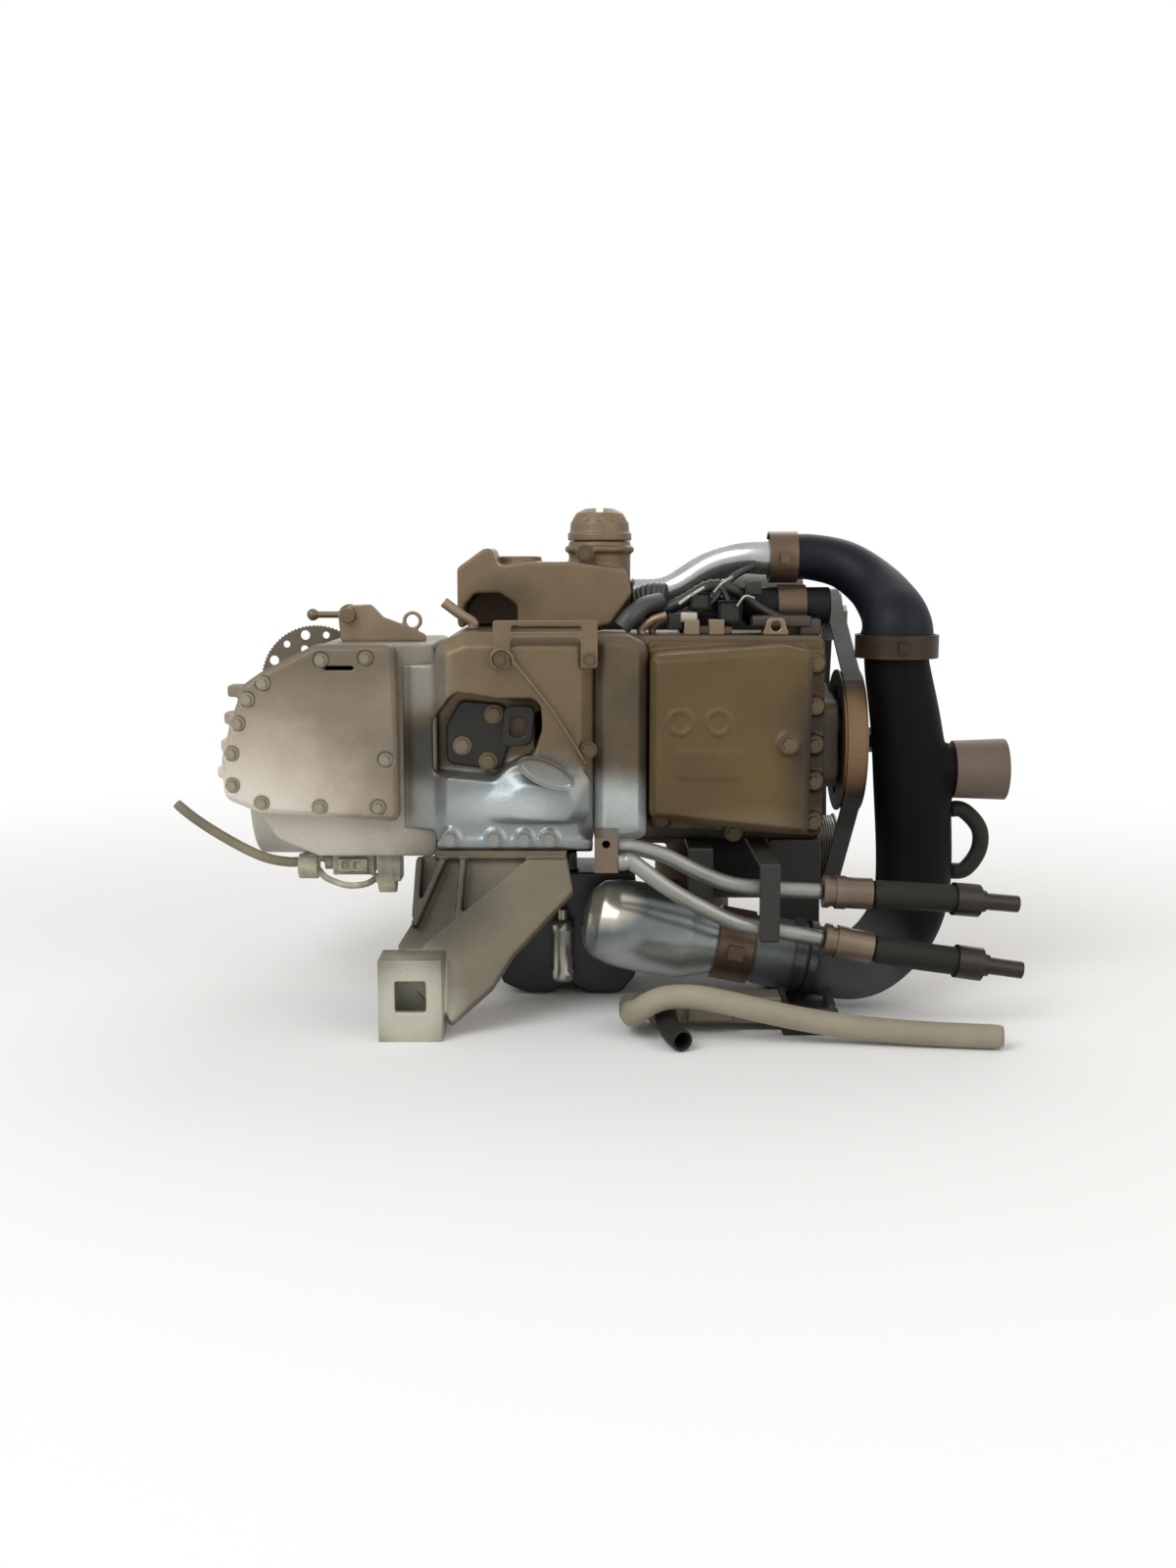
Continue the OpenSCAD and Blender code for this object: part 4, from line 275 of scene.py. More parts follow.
def rounded_tube(node, material, levels=1):
    """A pipe or hose: the node's tube with its sides made round."""
    obj = piece_of(node, node + "_round", joined=True)
    smooth = obj.modifiers.new("Round", "SUBSURF")
    smooth.levels = smooth.render_levels = levels
    settled(obj)
    return seated(obj, node, material)


def riding(bm, name, material, body=MAIN_BODY):
    """Makes the bmesh a finished piece that rides on a body."""
    bmesh.ops.recalc_face_normals(bm, faces=bm.faces)
    mesh = bpy.data.meshes.new(name)
    bm.to_mesh(mesh)
    bm.free()
    mesh.materials.append(material)
    mesh.polygons.foreach_set("use_smooth", [True] * len(mesh.polygons))
    mesh.set_sharp_from_angle(angle=CRISP_TURN)
    obj = bpy.data.objects.new(name, mesh)
    bpy.context.scene.collection.objects.link(obj)
    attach(obj, body)
    return obj


def eased(points, steps):
    """Points of a smooth line through the chosen points."""
    points = [Vector(p) for p in points]
    ends = [points[0] * 2 - points[1], *points, points[-1] * 2 - points[-2]]
    line = []
    for a, b, c, d in zip(ends, ends[1:], ends[2:], ends[3:]):
        for i in range(steps):
            t = i / steps
            line.append(0.5 * (2 * b + (c - a) * t + (2 * a - 5 * b + 4 * c - d) * t * t
                               + (3 * b - a - 3 * c + d) * t ** 3))
    return line + [points[-1]]


def run_tube(bm, points, radius, steps=6, sides=12, ribs=0.0):
    """Adds a tube along a smooth line; ribs is how far every second ring stands out, as on split loom."""
    line = eased(points, steps)
    last = len(line) - 1
    before = None
    for i, here in enumerate(line):
        ahead = (line[min(i + 1, last)] - line[max(i - 1, 0)]).to_track_quat("Z", "Y")
        place = Matrix.Translation(here) @ ahead.to_matrix().to_4x4()
        ring = bmesh.ops.create_circle(bm, cap_ends=i in (0, last), radius=radius + (ribs if i % 2 else 0.0),
                                       segments=sides, matrix=place)
        edges = list({e for v in ring["verts"] for e in v.link_edges})
        if before:
            bmesh.ops.bridge_loops(bm, edges=before + edges)
        before = edges


def rounded_edges(bm, edges, radius):
    """Rounds the edges with three steps."""
    bmesh.ops.bevel(bm, geom=edges, offset=radius, segments=3, profile=ROUND_PROFILE, affect="EDGES",
                    material=-1)


def moulded_box(bm, centre, size, socket=None, rounding=0.0016):
    """Adds a moulded box with rounded edges; socket is the direction that its recess faces."""
    place = Matrix.Translation(centre) @ Matrix.Diagonal((*size, 1))
    verts = bmesh.ops.create_cube(bm, size=1.0, matrix=place)["verts"]
    edges = list({e for v in verts for e in v.link_edges})
    if socket:
        mouth = max({f for v in verts for f in v.link_faces}, key=lambda f: f.normal.dot(Vector(socket)))
        bmesh.ops.inset_region(bm, faces=[mouth], thickness=min(size) * 0.18)
        bmesh.ops.translate(bm, vec=Vector(socket) * -0.4 * min(size), verts=mouth.verts[:])
    rounded_edges(bm, edges, rounding)


def turn_piece(bm, axis, profile, steps=40):
    """Adds a piece turned about an upright axis from (radius, height) points."""
    verts = [bm.verts.new((axis[0] + r, axis[1], z)) for r, z in profile]
    edges = [bm.edges.new(pair) for pair in zip(verts, verts[1:])]
    bmesh.ops.spin(bm, geom=verts + edges, cent=(*axis, 0), axis=(0, 0, 1), angle=2 * math.pi, steps=steps,
                   use_merge=True)
    bmesh.ops.remove_doubles(bm, verts=bm.verts, dist=MERGE_GAP)


def oval_lug(bm, centre, length, height, depth, tilt):
    """Adds an oval cast lug facing the front, with a raised rim."""
    face_front = Matrix.Rotation(math.radians(90), 4, "X")
    stretch = Matrix.Diagonal((length, 1, height, 1))
    place = Matrix.Translation(centre) @ Matrix.Rotation(tilt, 4, "Y") @ stretch @ face_front
    disc = bmesh.ops.create_circle(bm, cap_ends=True, radius=0.5, segments=40, matrix=place)["verts"]
    back = disc[0].link_faces[0]
    grown = bmesh.ops.extrude_face_region(bm, geom=[back])["geom"]
    front = next(g for g in grown if isinstance(g, bmesh.types.BMFace))
    bmesh.ops.translate(bm, vec=(0, -depth, 0), verts=front.verts[:])
    bmesh.ops.inset_region(bm, faces=[front], thickness=height * 0.16)
    bmesh.ops.translate(bm, vec=(0, depth * 0.4, 0), verts=front.verts[:])
    rims = [e for e in bm.edges if len(e.link_faces) == 2 and e.calc_face_angle(0) > 0.8]
    rounded_edges(bm, rims, depth * 0.16)


def dress(node, material):
    """Gives a CAD node that keeps its shape its finish."""
    obj = frame["nodes"][node]
    if not obj.material_slots:
        obj.data.materials.append(material)
    for slot in obj.material_slots:
        slot.material = material


# ---- settings ----------------------------------------------------------------------------------


def shade(name, text, default):
    """A colour setting."""
    return bpy.props.FloatVectorProperty(name=name, description=text, subtype="COLOR", size=3, min=0, max=1,
                                         default=default)


class EngineFinish(bpy.types.PropertyGroup):
    """Colours and grain of the engine's finishes."""

    alloy: shade("Alloy", "Oily cast aluminium of the housings", (0.43, 0.365, 0.275))
    # Silver alloy brightened as a painted sheen: the tone of the painted highlight on the bell housing's
    # belly
    alloy_sheen: shade("Clean alloy", "Brighter aluminium low on the housings", (0.53, 0.56, 0.565))
    # Painted glare: the washed pale tone at the gearbox end stands in for light falling there
    alloy_glare: shade("Pale alloy", "Washed aluminium at the gearbox end", (0.74, 0.69, 0.63))
    sump: shade("Oil pan", "Brown aluminium of the oil pan", (0.345, 0.272, 0.148))
    bracket: shade("Bracket", "Dull steel of the mount bracket", (0.41, 0.375, 0.305))
    rubber: shade("Rubber", "Black rubber of ducts and hoses", (0.022, 0.018, 0.020))
    blue_hose: shade("Elbow hose", "Blue-black silicone of the elbow hose", (0.036, 0.050, 0.092))
    bright: shade("Bright pipe", "Silver of pipes and the can", (0.70, 0.71, 0.70))


class EngineStage(bpy.types.PropertyGroup):
    """Camera, floor and lamps."""

    distance: bpy.props.FloatProperty(
        name="Camera distance", description="From the camera to its target", default=1.7, min=0.5, max=5.0,
        unit="LENGTH")
    elevation: bpy.props.FloatProperty(
        name="Camera height angle", description="Angle above the horizon", default=math.radians(8), min=0.0,
        max=1.5, subtype="ANGLE")
    lens: bpy.props.FloatProperty(
        name="Lens", description="Focal length in millimetres", default=38.25, min=20, max=120)
    light: bpy.props.FloatProperty(
        name="Light", description="Level of the lamps and of the surroundings", default=1.0, min=0.1, max=4.0)


# ---- stage -------------------------------------------------------------------------------------


class ENGINE_OT_stage(bpy.types.Operator):
    """Pale floor, white surroundings, soft lamps and the camera"""

    bl_idname = "engine.stage"
    bl_label = "Stage"

    def execute(self, context):
        stage = context.scene.engine_stage
        scene = context.scene
        scene.view_settings.view_transform = "Standard"
        back = Vector((0, -math.cos(stage.elevation), math.sin(stage.elevation)))
        data = bpy.data.cameras.new("Camera")
        data.lens, data.sensor_width, data.sensor_fit = stage.lens, 36.0, "AUTO"
        camera = bpy.data.objects.new("Camera", data)
        camera.location = TARGET + back * stage.distance
        camera.rotation_euler = (-back).to_track_quat("-Z", "Y").to_euler()
        scene.collection.objects.link(camera)
        scene.camera = camera

        bm = bmesh.new()
        bmesh.ops.create_grid(bm, x_segments=1, y_segments=1, size=FLOOR_SIZE)
        mesh = bpy.data.meshes.new("Floor")
        bm.to_mesh(mesh)
        bm.free()
        floor = bpy.data.objects.new("Floor", mesh)
        scene.collection.objects.link(floor)
        mesh.materials.append(self.floor_material())

        self.surroundings(scene, stage.light)
        for name, place, size, power, tint in LAMPS:
            lamp = bpy.data.lights.new(name, "AREA")
            lamp.size, lamp.energy, lamp.color = size, power * stage.light, tint
            obj = bpy.data.objects.new(name, lamp)
            obj.location = place
            obj.rotation_euler = (Vector(place) - LAMP_AIM).to_track_quat("Z", "Y").to_euler()
            scene.collection.objects.link(obj)
        return {"FINISHED"}

    @staticmethod
    def floor_material():
        """Pale floor that turns into the white surroundings away from the engine, where a camera sees it."""
        mat = bpy.data.materials.new("Pale floor")
        mat.use_nodes = True
        tree = mat.node_tree
        shader = tree.nodes["Principled BSDF"]
        shader.inputs["Base Color"].default_value = (0.86, 0.855, 0.85, 1)
        shader.inputs["Roughness"].default_value = 0.75
        shader.inputs["Specular IOR Level"].default_value = 0.2
        place = tree.nodes.new("ShaderNodeTexCoord").outputs["Object"]
        reach = calc(tree, "ShaderNodeVectorMath", "LENGTH", place)["Value"]
        seen = tree.nodes.new("ShaderNodeLightPath").outputs["Is Camera Ray"]
        shown = calc(tree, "ShaderNodeMath", "MULTIPLY", mapped(tree, reach, *FLOOR_FADE), seen)[0]
        white = tree.nodes.new("ShaderNodeEmission")
        both = tree.nodes.new("ShaderNodeMixShader")
        for value, socket in zip((shown, shader.outputs[0], white.outputs[0]), both.inputs):
            wire(tree, value, socket)
        tree.links.new(both.outputs[0], tree.nodes["Material Output"].inputs[0])
        return mat

    @staticmethod
    def surroundings(scene, light):
        """Soft light from all round, seen and mirrored as plain white."""
        world = bpy.data.worlds.new("Studio")
        scene.world = world
        world.use_nodes = True
        tree = world.node_tree
        tree.nodes.clear()
        lit, seen = tree.nodes.new("ShaderNodeBackground"), tree.nodes.new("ShaderNodeBackground")
        lit.inputs[0].default_value = (1.0, 0.985, 0.96, 1)
        lit.inputs[1].default_value = SKY_LEVEL * light
        seen.inputs[0].default_value = (1, 1, 1, 1)
        seen.inputs[1].default_value = 1.0
        rays = tree.nodes.new("ShaderNodeLightPath").outputs
        white = rays["Is Camera Ray"]
        for ray in ("Is Glossy Ray", "Is Transmission Ray"):
            white = calc(tree, "ShaderNodeMath", "MAXIMUM", white, rays[ray])[0]
        mix = tree.nodes.new("ShaderNodeMixShader")
        for value, socket in zip((white, lit.outputs[0], seen.outputs[0]), mix.inputs):
            wire(tree, value, socket)
        tree.links.new(mix.outputs[0], tree.nodes.new("ShaderNodeOutputWorld").inputs[0])


# ---- gearbox and housings ----------------------------------------------------------------------


class ENGINE_OT_gearbox(bpy.types.Operator):
    """Gearbox case and cover, the foot under the bell housing and the perforated disc"""

    bl_idname = "engine.gearbox"
    bl_label = "Gearbox"

    def execute(self, context):
        f = context.scene.engine_finish
        lo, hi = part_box("gearbox_cover")
        middle = (lo.x + hi.x) / 2
        # Tone of the painted glare low at the gearbox end
        pale = tuple(f.alloy_glare)
        cover = surface("Cover alloy", tones((0.50, 0.455, 0.39), 0.05), [
            # Painted glare in the two pale patches low at the left, painted shade in the brown patch along
            # the top
            ((lo.x, lo.y, lo.z + 0.015), (0.20, 0.2, 0.13), pale, 0.9, 0.35),
            ((lo.x - 0.02, lo.y, lo.z - 0.01), (0.17, 0.2, 0.10), (0.84, 0.81, 0.76), 0.9, 0.2),
            ((middle + 0.04, lo.y, hi.z), (0.16, 0.2, 0.06), (0.38, 0.335, 0.275), 0.7, 0.5)],
            metal=0.35, rough=(0.42, 0.6), grain=520, relief=0.35)
        case = surface("Gearbox alloy", tones((0.50, 0.47, 0.42), 0.06), [
            # Painted glare low at the case's left end
            ((lo.x + 0.05, lo.y, lo.z), (0.2, 0.3, 0.1), (0.75, 0.73, 0.68), 0.9, 0.4)],
            metal=0.35, rough=(0.42, 0.62), grain=520, relief=0.35)
        foot = surface("Foot paint", tones((0.09, 0.088, 0.08), 0.2), rough=(0.5, 0.7))
        disc = surface("Disc steel", tones((0.41, 0.38, 0.32)), metal=0.75, rough=(0.35, 0.5), grain=900,
                       relief=0.1)
        casting("gearbox_cover", cover, 0.0014, 2, 0.5)
        casting("gearbox_shell", case, 0.0024, 2, 0.5)
        casting("rear_foot", foot, 0.002, 1, 0.5)
        dress("perforated_disc", disc)
        return {"FINISHED"}


class ENGINE_OT_bell(bpy.types.Operator):
    """Bell housing with its silvery belly brightened by a painted sheen, painted highlights and painted
    shade, and the plate in its recess
    """

    bl_idname = "engine.bell"
    bl_label = "Bell housing"

    def execute(self, context):
        f = context.scene.engine_finish
        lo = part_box("bell_housing")[0]
        front = lo.y
        # Tone of the painted sheen on the belly
        silver = tuple(f.alloy_sheen)
        bell = surface("Bell alloy", tones(f.alloy, 0.06), [
            # Painted sheen: silver alloy of the belly brightened as a highlight, taking the polish
            ((lo.x + 0.11, front, 0.205), (0.17, 0.12, 0.078), silver, 0.95, 0.3),
            # Painted highlight on the upper left flank
            ((lo.x + 0.01, front, 0.345), (0.055, 0.1, 0.055), (0.55, 0.54, 0.51), 0.85, 0.3),
            # Painted shade under the curved flank, left of the recess
            ((lo.x + 0.022, front + 0.02, 0.270), (0.056, 0.09, 0.046), (0.22, 0.22, 0.205), 0.92, 0.3),
            # Painted highlight on the bright strip low in front
            ((lo.x + 0.10, front - 0.01, 0.215), (0.075, 0.05, 0.026), (0.72, 0.75, 0.75), 0.8, 0.4),
            # Painted shade inside the recess
            ((lo.x + 0.07, front + 0.035, 0.285), (0.062, 0.04, 0.052), (0.17, 0.165, 0.15), 0.95, 0.15)],
            metal=0.5, rough=(0.36, 0.55), grain=480, relief=0.3, polish=0.27)
        plate = surface("Recess plate", tones((0.155, 0.15, 0.135)), metal=0.4, rough=(0.3, 0.5))
        casting("bell_housing", bell, 0.0021, 12, 0.45)
        casting("recess_cover", plate, 0.0011, 1, 0.5)
        return {"FINISHED"}


class ENGINE_OT_block(bpy.types.Operator):
    """Engine block, oil pan, head, covers, manifolds and coils"""

    bl_idname = "engine.block"
    bl_label = "Block and head"

    def execute(self, context):
        f = context.scene.engine_finish
        lo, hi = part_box("oil_pan")
        pan = surface("Oil pan alloy", tones(f.sump, 0.07), [
            # Silver lower edge brightened as a painted sheen carrying on the belly's, taking the polish
            ((lo.x + 0.02, lo.y, lo.z - 0.004), (0.10, 0.12, 0.036), (0.68, 0.71, 0.70), 0.95, 0.4),
            # Lighter brown low on the front
            ((lo.x + 0.10, lo.y, lo.z + 0.02), (0.09, 0.12, 0.035), (0.41, 0.36, 0.27), 0.8, 0.4),
            # Painted shade at the pan's right end
            ((hi.x + 0.004, lo.y + 0.03, lo.z + 0.10), (0.075, 0.12, 0.16), (0.15, 0.11, 0.07), 0.95, 0.3)],
            metal=0.3, rough=(0.42, 0.6), grain=480, relief=0.3, polish=0.3)
        block = surface("Block iron", tones((0.34, 0.29, 0.215), 0.1), [
            # Painted highlight on the bright strip of the block beside the housing, taking the polish
            ((lo.x - 0.04, lo.y, 0.200), (0.085, 0.13, 0.062), (0.70, 0.73, 0.72), 0.95, 0.3),
            # Painted shade low behind and under the oil pan
            ((lo.x + 0.12, lo.y + 0.12, 0.16), (0.2, 0.2, 0.05), (0.09, 0.085, 0.075), 0.8, 0.3)],
            metal=0.35, rough=(0.45, 0.65), relief=0.4, polish=0.28)
        head = surface("Head alloy", tones((0.42, 0.39, 0.34), 0.08), metal=0.35, rough=(0.45, 0.6))
        dark = surface("Cover plastic", tones((0.10, 0.098, 0.09), 0.15), rough=(0.45, 0.6), relief=0.15)
        iron = surface("Exhaust iron", tones((0.36, 0.28, 0.21), 0.2), metal=0.25, rough=(0.6, 0.8),
                       stains=22)
        timing = surface("Timing alloy", tones((0.31, 0.27, 0.21), 0.1), metal=0.3)
        coil = surface("Coil plastic", tones((0.07, 0.07, 0.07)), rough=(0.35, 0.5))
        casting("oil_pan", pan, 0.0018, 3, 0.45)
        casting("engine_block", block, 0.0028, 2, 0.4)
        casting("head", head, 0.0028, 2, 0.4)
        casting("timing_cover", timing, 0.0020, 2, 0.45)
        casting("cam_cover", dark, 0.0024, 3, 0.4)
        casting("intake_manifold", dark, 0.0024, 3, 0.4)
        casting("exhaust", iron, 0.0022, 3, 0.4)
        casting("ignition_coils", coil, 0.0016, 2, 0.5)
        return {"FINISHED"}


class ENGINE_OT_belt_drive(bpy.types.Operator):
    """Pulleys, belt, alternator, compressor and tensioner"""

    bl_idname = "engine.belt_drive"
    bl_label = "Belt drive"

    def execute(self, context):
        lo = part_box("belt_pulley")[0]
        # Painted light: an orange pool of light on the belt and the pulley's front
        lit = ((lo.x + 0.01, lo.y, lo.z + 0.10), (0.05, 0.04, 0.11), (0.50, 0.385, 0.255), 0.95, 0.25)
        rubber = surface("Belt rubber", tones((0.085, 0.075, 0.06)), [lit], rough=(0.5, 0.7), grain=900,
                         relief=0.3)
        pulley = surface("Pulley paint", tones((0.085, 0.075, 0.06)), [lit], metal=0.3, rough=(0.4, 0.6))
        alloy = surface("Ancillary alloy", tones((0.30, 0.285, 0.26), 0.1), metal=0.4, rough=(0.4, 0.6))
        grimy = surface("Grimy alloy", tones((0.15, 0.14, 0.12), 0.2), metal=0.3, rough=(0.5, 0.7))
        steel = surface("Shaft steel", tones((0.50, 0.49, 0.46), 0.06), metal=0.8, rough=(0.28, 0.42),
                        grain=1200, relief=0.08)
        dress("accessory_belt", rubber)
        dress("belt_pulley", pulley)
        dress("alternator_rotor", steel)
        dress("compressor_drive", steel)
        dress("tensioner_roller", surface("Roller plastic", tones((0.12, 0.11, 0.10)), rough=(0.4, 0.55)))
        casting("alternator", alloy, 0.0018, 2, 0.45)
        casting("compressor", grimy, 0.0022, 2, 0.45)
        casting("tensioner_arm", alloy, 0.0012, 1, 0.5)
        return {"FINISHED"}


class ENGINE_OT_inside(bpy.types.Operator):
    """Crankshaft, pistons, cams, chain, clutch and gears inside the housings"""

    bl_idname = "engine.inside"
    bl_label = "Inner parts"

    def execute(self, context):
        steel = surface("Machined steel", tones((0.50, 0.49, 0.46), 0.06), metal=0.85, rough=(0.25, 0.4),
                        grain=1400, relief=0.06)
        cast = surface("Cast steel", tones((0.35, 0.33, 0.30), 0.08), metal=0.6, rough=(0.4, 0.55))
        alloy = surface("Piston alloy", tones((0.58, 0.57, 0.55), 0.05), metal=0.7, rough=(0.3, 0.45))
        for node in ("upper_cam", "lower_cam", "timing_chain", "drive_shaft", "output_shaft", "differential"):
            dress(node, steel)
        for node in ("crankshaft", "flywheel_clutch"):
            dress(node, cast)
        for node in ("piston_1", "piston_2", "piston_3"):
            dress(node, alloy)
        return {"FINISHED"}


class ENGINE_OT_top(bpy.types.Operator):
    """Actuator with its turret and cap, guide frame, selector and small fittings on top"""

    bl_idname = "engine.top"
    bl_label = "Top fittings"

    def execute(self, context):
        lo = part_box("actuator")[0]
        alloy = surface("Actuator alloy", tones((0.44, 0.37, 0.28), 0.07), [
            ((lo.x + 0.05, lo.y + 0.04, lo.z + 0.03), (0.06, 0.08, 0.04), (0.27, 0.23, 0.16), 0.7, 0.2)],
            metal=0.35, rough=(0.42, 0.6), grain=520, relief=0.3)
        cap = surface("Cap alloy", tones((0.45, 0.385, 0.29), 0.06), metal=0.35, rough=(0.4, 0.55), grain=520)
        plate = surface("Plate steel", tones((0.53, 0.46, 0.37), 0.07), metal=0.5, rough=(0.35, 0.5),
                        grain=800, relief=0.1)
        frame_steel = surface("Frame steel", tones((0.44, 0.38, 0.29), 0.08), metal=0.5, rough=(0.35, 0.5),
                              grain=800, relief=0.1)
        casting("actuator", alloy, 0.0016, 4, 0.5)
        casting("filter_cap", cap, 0.0010, 2, 0.5)
        casting("selector_bracket", plate, 0.0011, 1, 0.5)
        casting("selector_lever", frame_steel, 0.0009, 2, 0.5)
        casting("top_guide", frame_steel, 0.0009, 1, 0.5)
        casting("top_fittings", plate, 0.0009, 1, 0.5)

        # The thin rod's upper end is bent round the guide's bolt; each step is a turn and a reach
        hook = bmesh.new()
        bolt_x, bolt_y, bolt_z = -0.09035, -0.2082, 0.362
        bend = [(-0.165, 0.0122), (0.35, 0.0110), (0.8, 0.0099)]
        bend += [(0.8 + 0.5 * k, 0.0099) for k in range(1, 8)]
        run_tube(hook, [(bolt_x + reach * math.cos(turn), bolt_y, bolt_z + reach * math.sin(turn))
                        for turn, reach in bend], 0.0019, steps=4, sides=10)
        riding(hook, "rod_hook", frame_steel)
        return {"FINISHED"}


# Runs of the small pieces on the block: points with heights over its top, and how the tube is drawn
LOOM_RUNS = (
    (((0.046, -0.066, 0.022), (0.066, -0.082, 0.018), (0.094, -0.091, 0.030), (0.124, -0.090, 0.046),
      (0.152, -0.086, 0.040), (0.176, -0.080, 0.022), (0.200, -0.074, 0.010)),
     {"radius": 0.0062, "steps": 9, "ribs": 0.0011}),
    (((0.062, -0.078, 0.010), (0.088, -0.095, 0.016), (0.118, -0.098, 0.024), (0.146, -0.084, 0.054),
      (0.170, -0.066, 0.066)), {"radius": 0.0036}),
    (((0.132, -0.090, 0.050), (0.140, -0.098, 0.034), (0.143, -0.100, 0.022)), {"radius": 0.0030}),
)
CLIP_RODS = (
    (((0.090, -0.104, 0.028), (0.101, -0.106, 0.036), (0.116, -0.106, 0.045)), {"radius": 0.0018}),
    (((0.126, -0.104, 0.040), (0.134, -0.106, 0.049), (0.145, -0.105, 0.056)), {"radius": 0.0015}),
    (((0.150, -0.106, 0.026), (0.158, -0.108, 0.036), (0.168, -0.106, 0.034)), {"radius": 0.0013}),
)
HOSE_RUNS = (
    (((0.030, -0.118, 0.004), (0.040, -0.116, 0.016), (0.054, -0.104, 0.026), (0.070, -0.088, 0.030)),
     {"radius": 0.0095, "sides": 16}),
    (((0.048, -0.060, 0.030), (0.062, -0.066, 0.036), (0.078, -0.070, 0.036)),
     {"radius": 0.0120, "steps": 7, "sides": 18, "ribs": 0.0016}),
)
# Moulded boxes among them: middle, size, and where the recess faces or how round the edges are
LOOM_PLUGS = (
    ((0.112, -0.101, 0.031), (0.021, 0.016, 0.017), {"socket": (0, -1, 0)}),
    ((0.143, -0.100, 0.020), (0.024, 0.018, 0.022), {"socket": (0, -1, 0)}),
    ((0.168, -0.092, 0.044), (0.018, 0.014, 0.015), {"socket": (1, 0, 0)}),
    ((0.086, -0.100, 0.010), (0.016, 0.014, 0.018), {"socket": (0, 0, 1)}),
)
CLIP_BASE = (((0.100, -0.105, 0.014), (0.018, 0.009, 0.011), {"rounding": 0.0024}),)
FLANGE_BOXES = (
    ((0.196, -0.104, 0.010), (0.062, 0.022, 0.012), {"rounding": 0.003}),
    ((0.226, -0.100, 0.004), (0.022, 0.026, 0.018), {"rounding": 0.003}),
)
# Small canister behind the bracket: where its axis stands, then its radius and height from foot to neck
CANISTER_AXIS = (-0.031, -0.137)
CANISTER_SIDE = (
    (0.0, 0.020), (0.0095, 0.020), (0.0122, 0.023), (0.0122, 0.031), (0.0108, 0.033), (0.0108, 0.072),
    (0.0122, 0.074), (0.0122, 0.080), (0.0095, 0.084), (0.0052, 0.086), (0.0052, 0.096), (0.0, 0.096),
)


class ENGINE_OT_harness(bpy.types.Operator):
    """Wiring and grey hose end on the block, the pan's flange, the small canister and the housing's lug"""

    bl_idname = "engine.harness"
    bl_label = "Wiring and small pieces"

    def execute(self, context):
        black = surface("Loom plastic", tones((0.10, 0.10, 0.095), 0.2), rough=(0.35, 0.55), grain=900,
                        relief=0.15)
        pale = surface("Pale fittings", tones((0.66, 0.65, 0.58), 0.1), metal=0.4, rough=(0.3, 0.45),
                       stains=30)
        grey = surface("Grey hose", tones((0.235, 0.225, 0.235), 0.12), rough=(0.4, 0.55), grain=900,
                       relief=0.15)
        brown = surface("Plug brown", tones((0.21, 0.175, 0.13), 0.15), rough=(0.4, 0.6), stains=30)
        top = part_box("engine_block")[1].z

        for name, material, runs, boxes in (
            ("wiring_loom", black, LOOM_RUNS, ()),
            ("loom_plugs", black, (), LOOM_PLUGS),
            ("loom_clips", pale, CLIP_RODS, CLIP_BASE),
            ("boot_and_hose", grey, HOSE_RUNS, ()),
            ("cover_flange", brown, (), FLANGE_BOXES),
        ):
            bm = bmesh.new()
            for points, how in runs:
                run_tube(bm, [(x, y, top + z) for x, y, z in points], **how)
            for (x, y, z), size, how in boxes:
                moulded_box(bm, (x, y, top + z), size, **how)
            riding(bm, name, material)

        silver = surface("Canister zinc", tones((0.62, 0.61, 0.57), 0.06), metal=0.8, rough=(0.2, 0.34),
                         grain=900, relief=0.08)
        can = bmesh.new()
        turn_piece(can, CANISTER_AXIS, CANISTER_SIDE)
        riding(can, "drain_canister", silver)

        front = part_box("bell_housing")[0].y
        lug = bmesh.new()
        oval_lug(lug, (-0.046, front + 0.006, 0.250), 0.060, 0.026, 0.012, math.radians(24))
        riding(lug, "housing_lug", MATERIALS["Bell alloy"])
        return {"FINISHED"}


class ENGINE_OT_air_path(bpy.types.Operator):
    """Silver charge pipe, elbow hose, clamps, duct, stub and bypass hose"""

    bl_idname = "engine.air_path"
    bl_label = "Air path"

    def execute(self, context):
        f = context.scene.engine_finish
        silver = surface("Silver pipe", tones(f.bright, 0.05), metal=0.85, rough=(0.22, 0.36), grain=700,
                         relief=0.08)
        blue = surface("Elbow silicone", tones(f.blue_hose, 0.1), rough=(0.42, 0.55), grain=900, relief=0.12,
                       specular=0.2)
        lo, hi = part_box("lower_pipe")
        black = surface("Duct rubber", tones(f.rubber, 0.12), [
            ((hi.x + 0.035, hi.y - 0.035, 0.045), (0.080, 0.12, 0.075), (0.34, 0.36, 0.36), 0.9, 0.15)],
            rough=(0.5, 0.65), grain=700, relief=0.15, specular=0.1)
        rounded_tube("charge_pipe", silver)
        rounded_tube("elbow_hose", blue)
        rounded_tube("charge_duct", black)
        bypass = surface("Bypass hose", tones((0.05, 0.05, 0.058), 0.1), rough=(0.4, 0.55), specular=0.2)
        casting("recirculation", bypass, 0.0015, 2, 0.5)
        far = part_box("charge_duct")[1]
        clamps = surface("Clamp steel", tones((0.38, 0.31, 0.25), 0.08), [
            (((lo.x + hi.x) / 2 + 0.025, (lo.y + hi.y) / 2, 0.053), (0.06, 0.12, 0.12), (0.30, 0.31, 0.31),
             0.95, 0.05),
            # Painted shade on the lower clamp
            ((far.x - 0.05, far.y - 0.06, far.z - 0.002), (0.14, 0.2, 0.035), (0.21, 0.165, 0.135),
             0.95, 0.05)],
            metal=0.7, rough=(0.3, 0.45), grain=900, relief=0.1)
        dress("hose_clamps", clamps)
        dress("hose_stub", surface("Stub rubber", tones((0.35, 0.29, 0.24), 0.1), rough=(0.5, 0.65)))
        return {"FINISHED"}


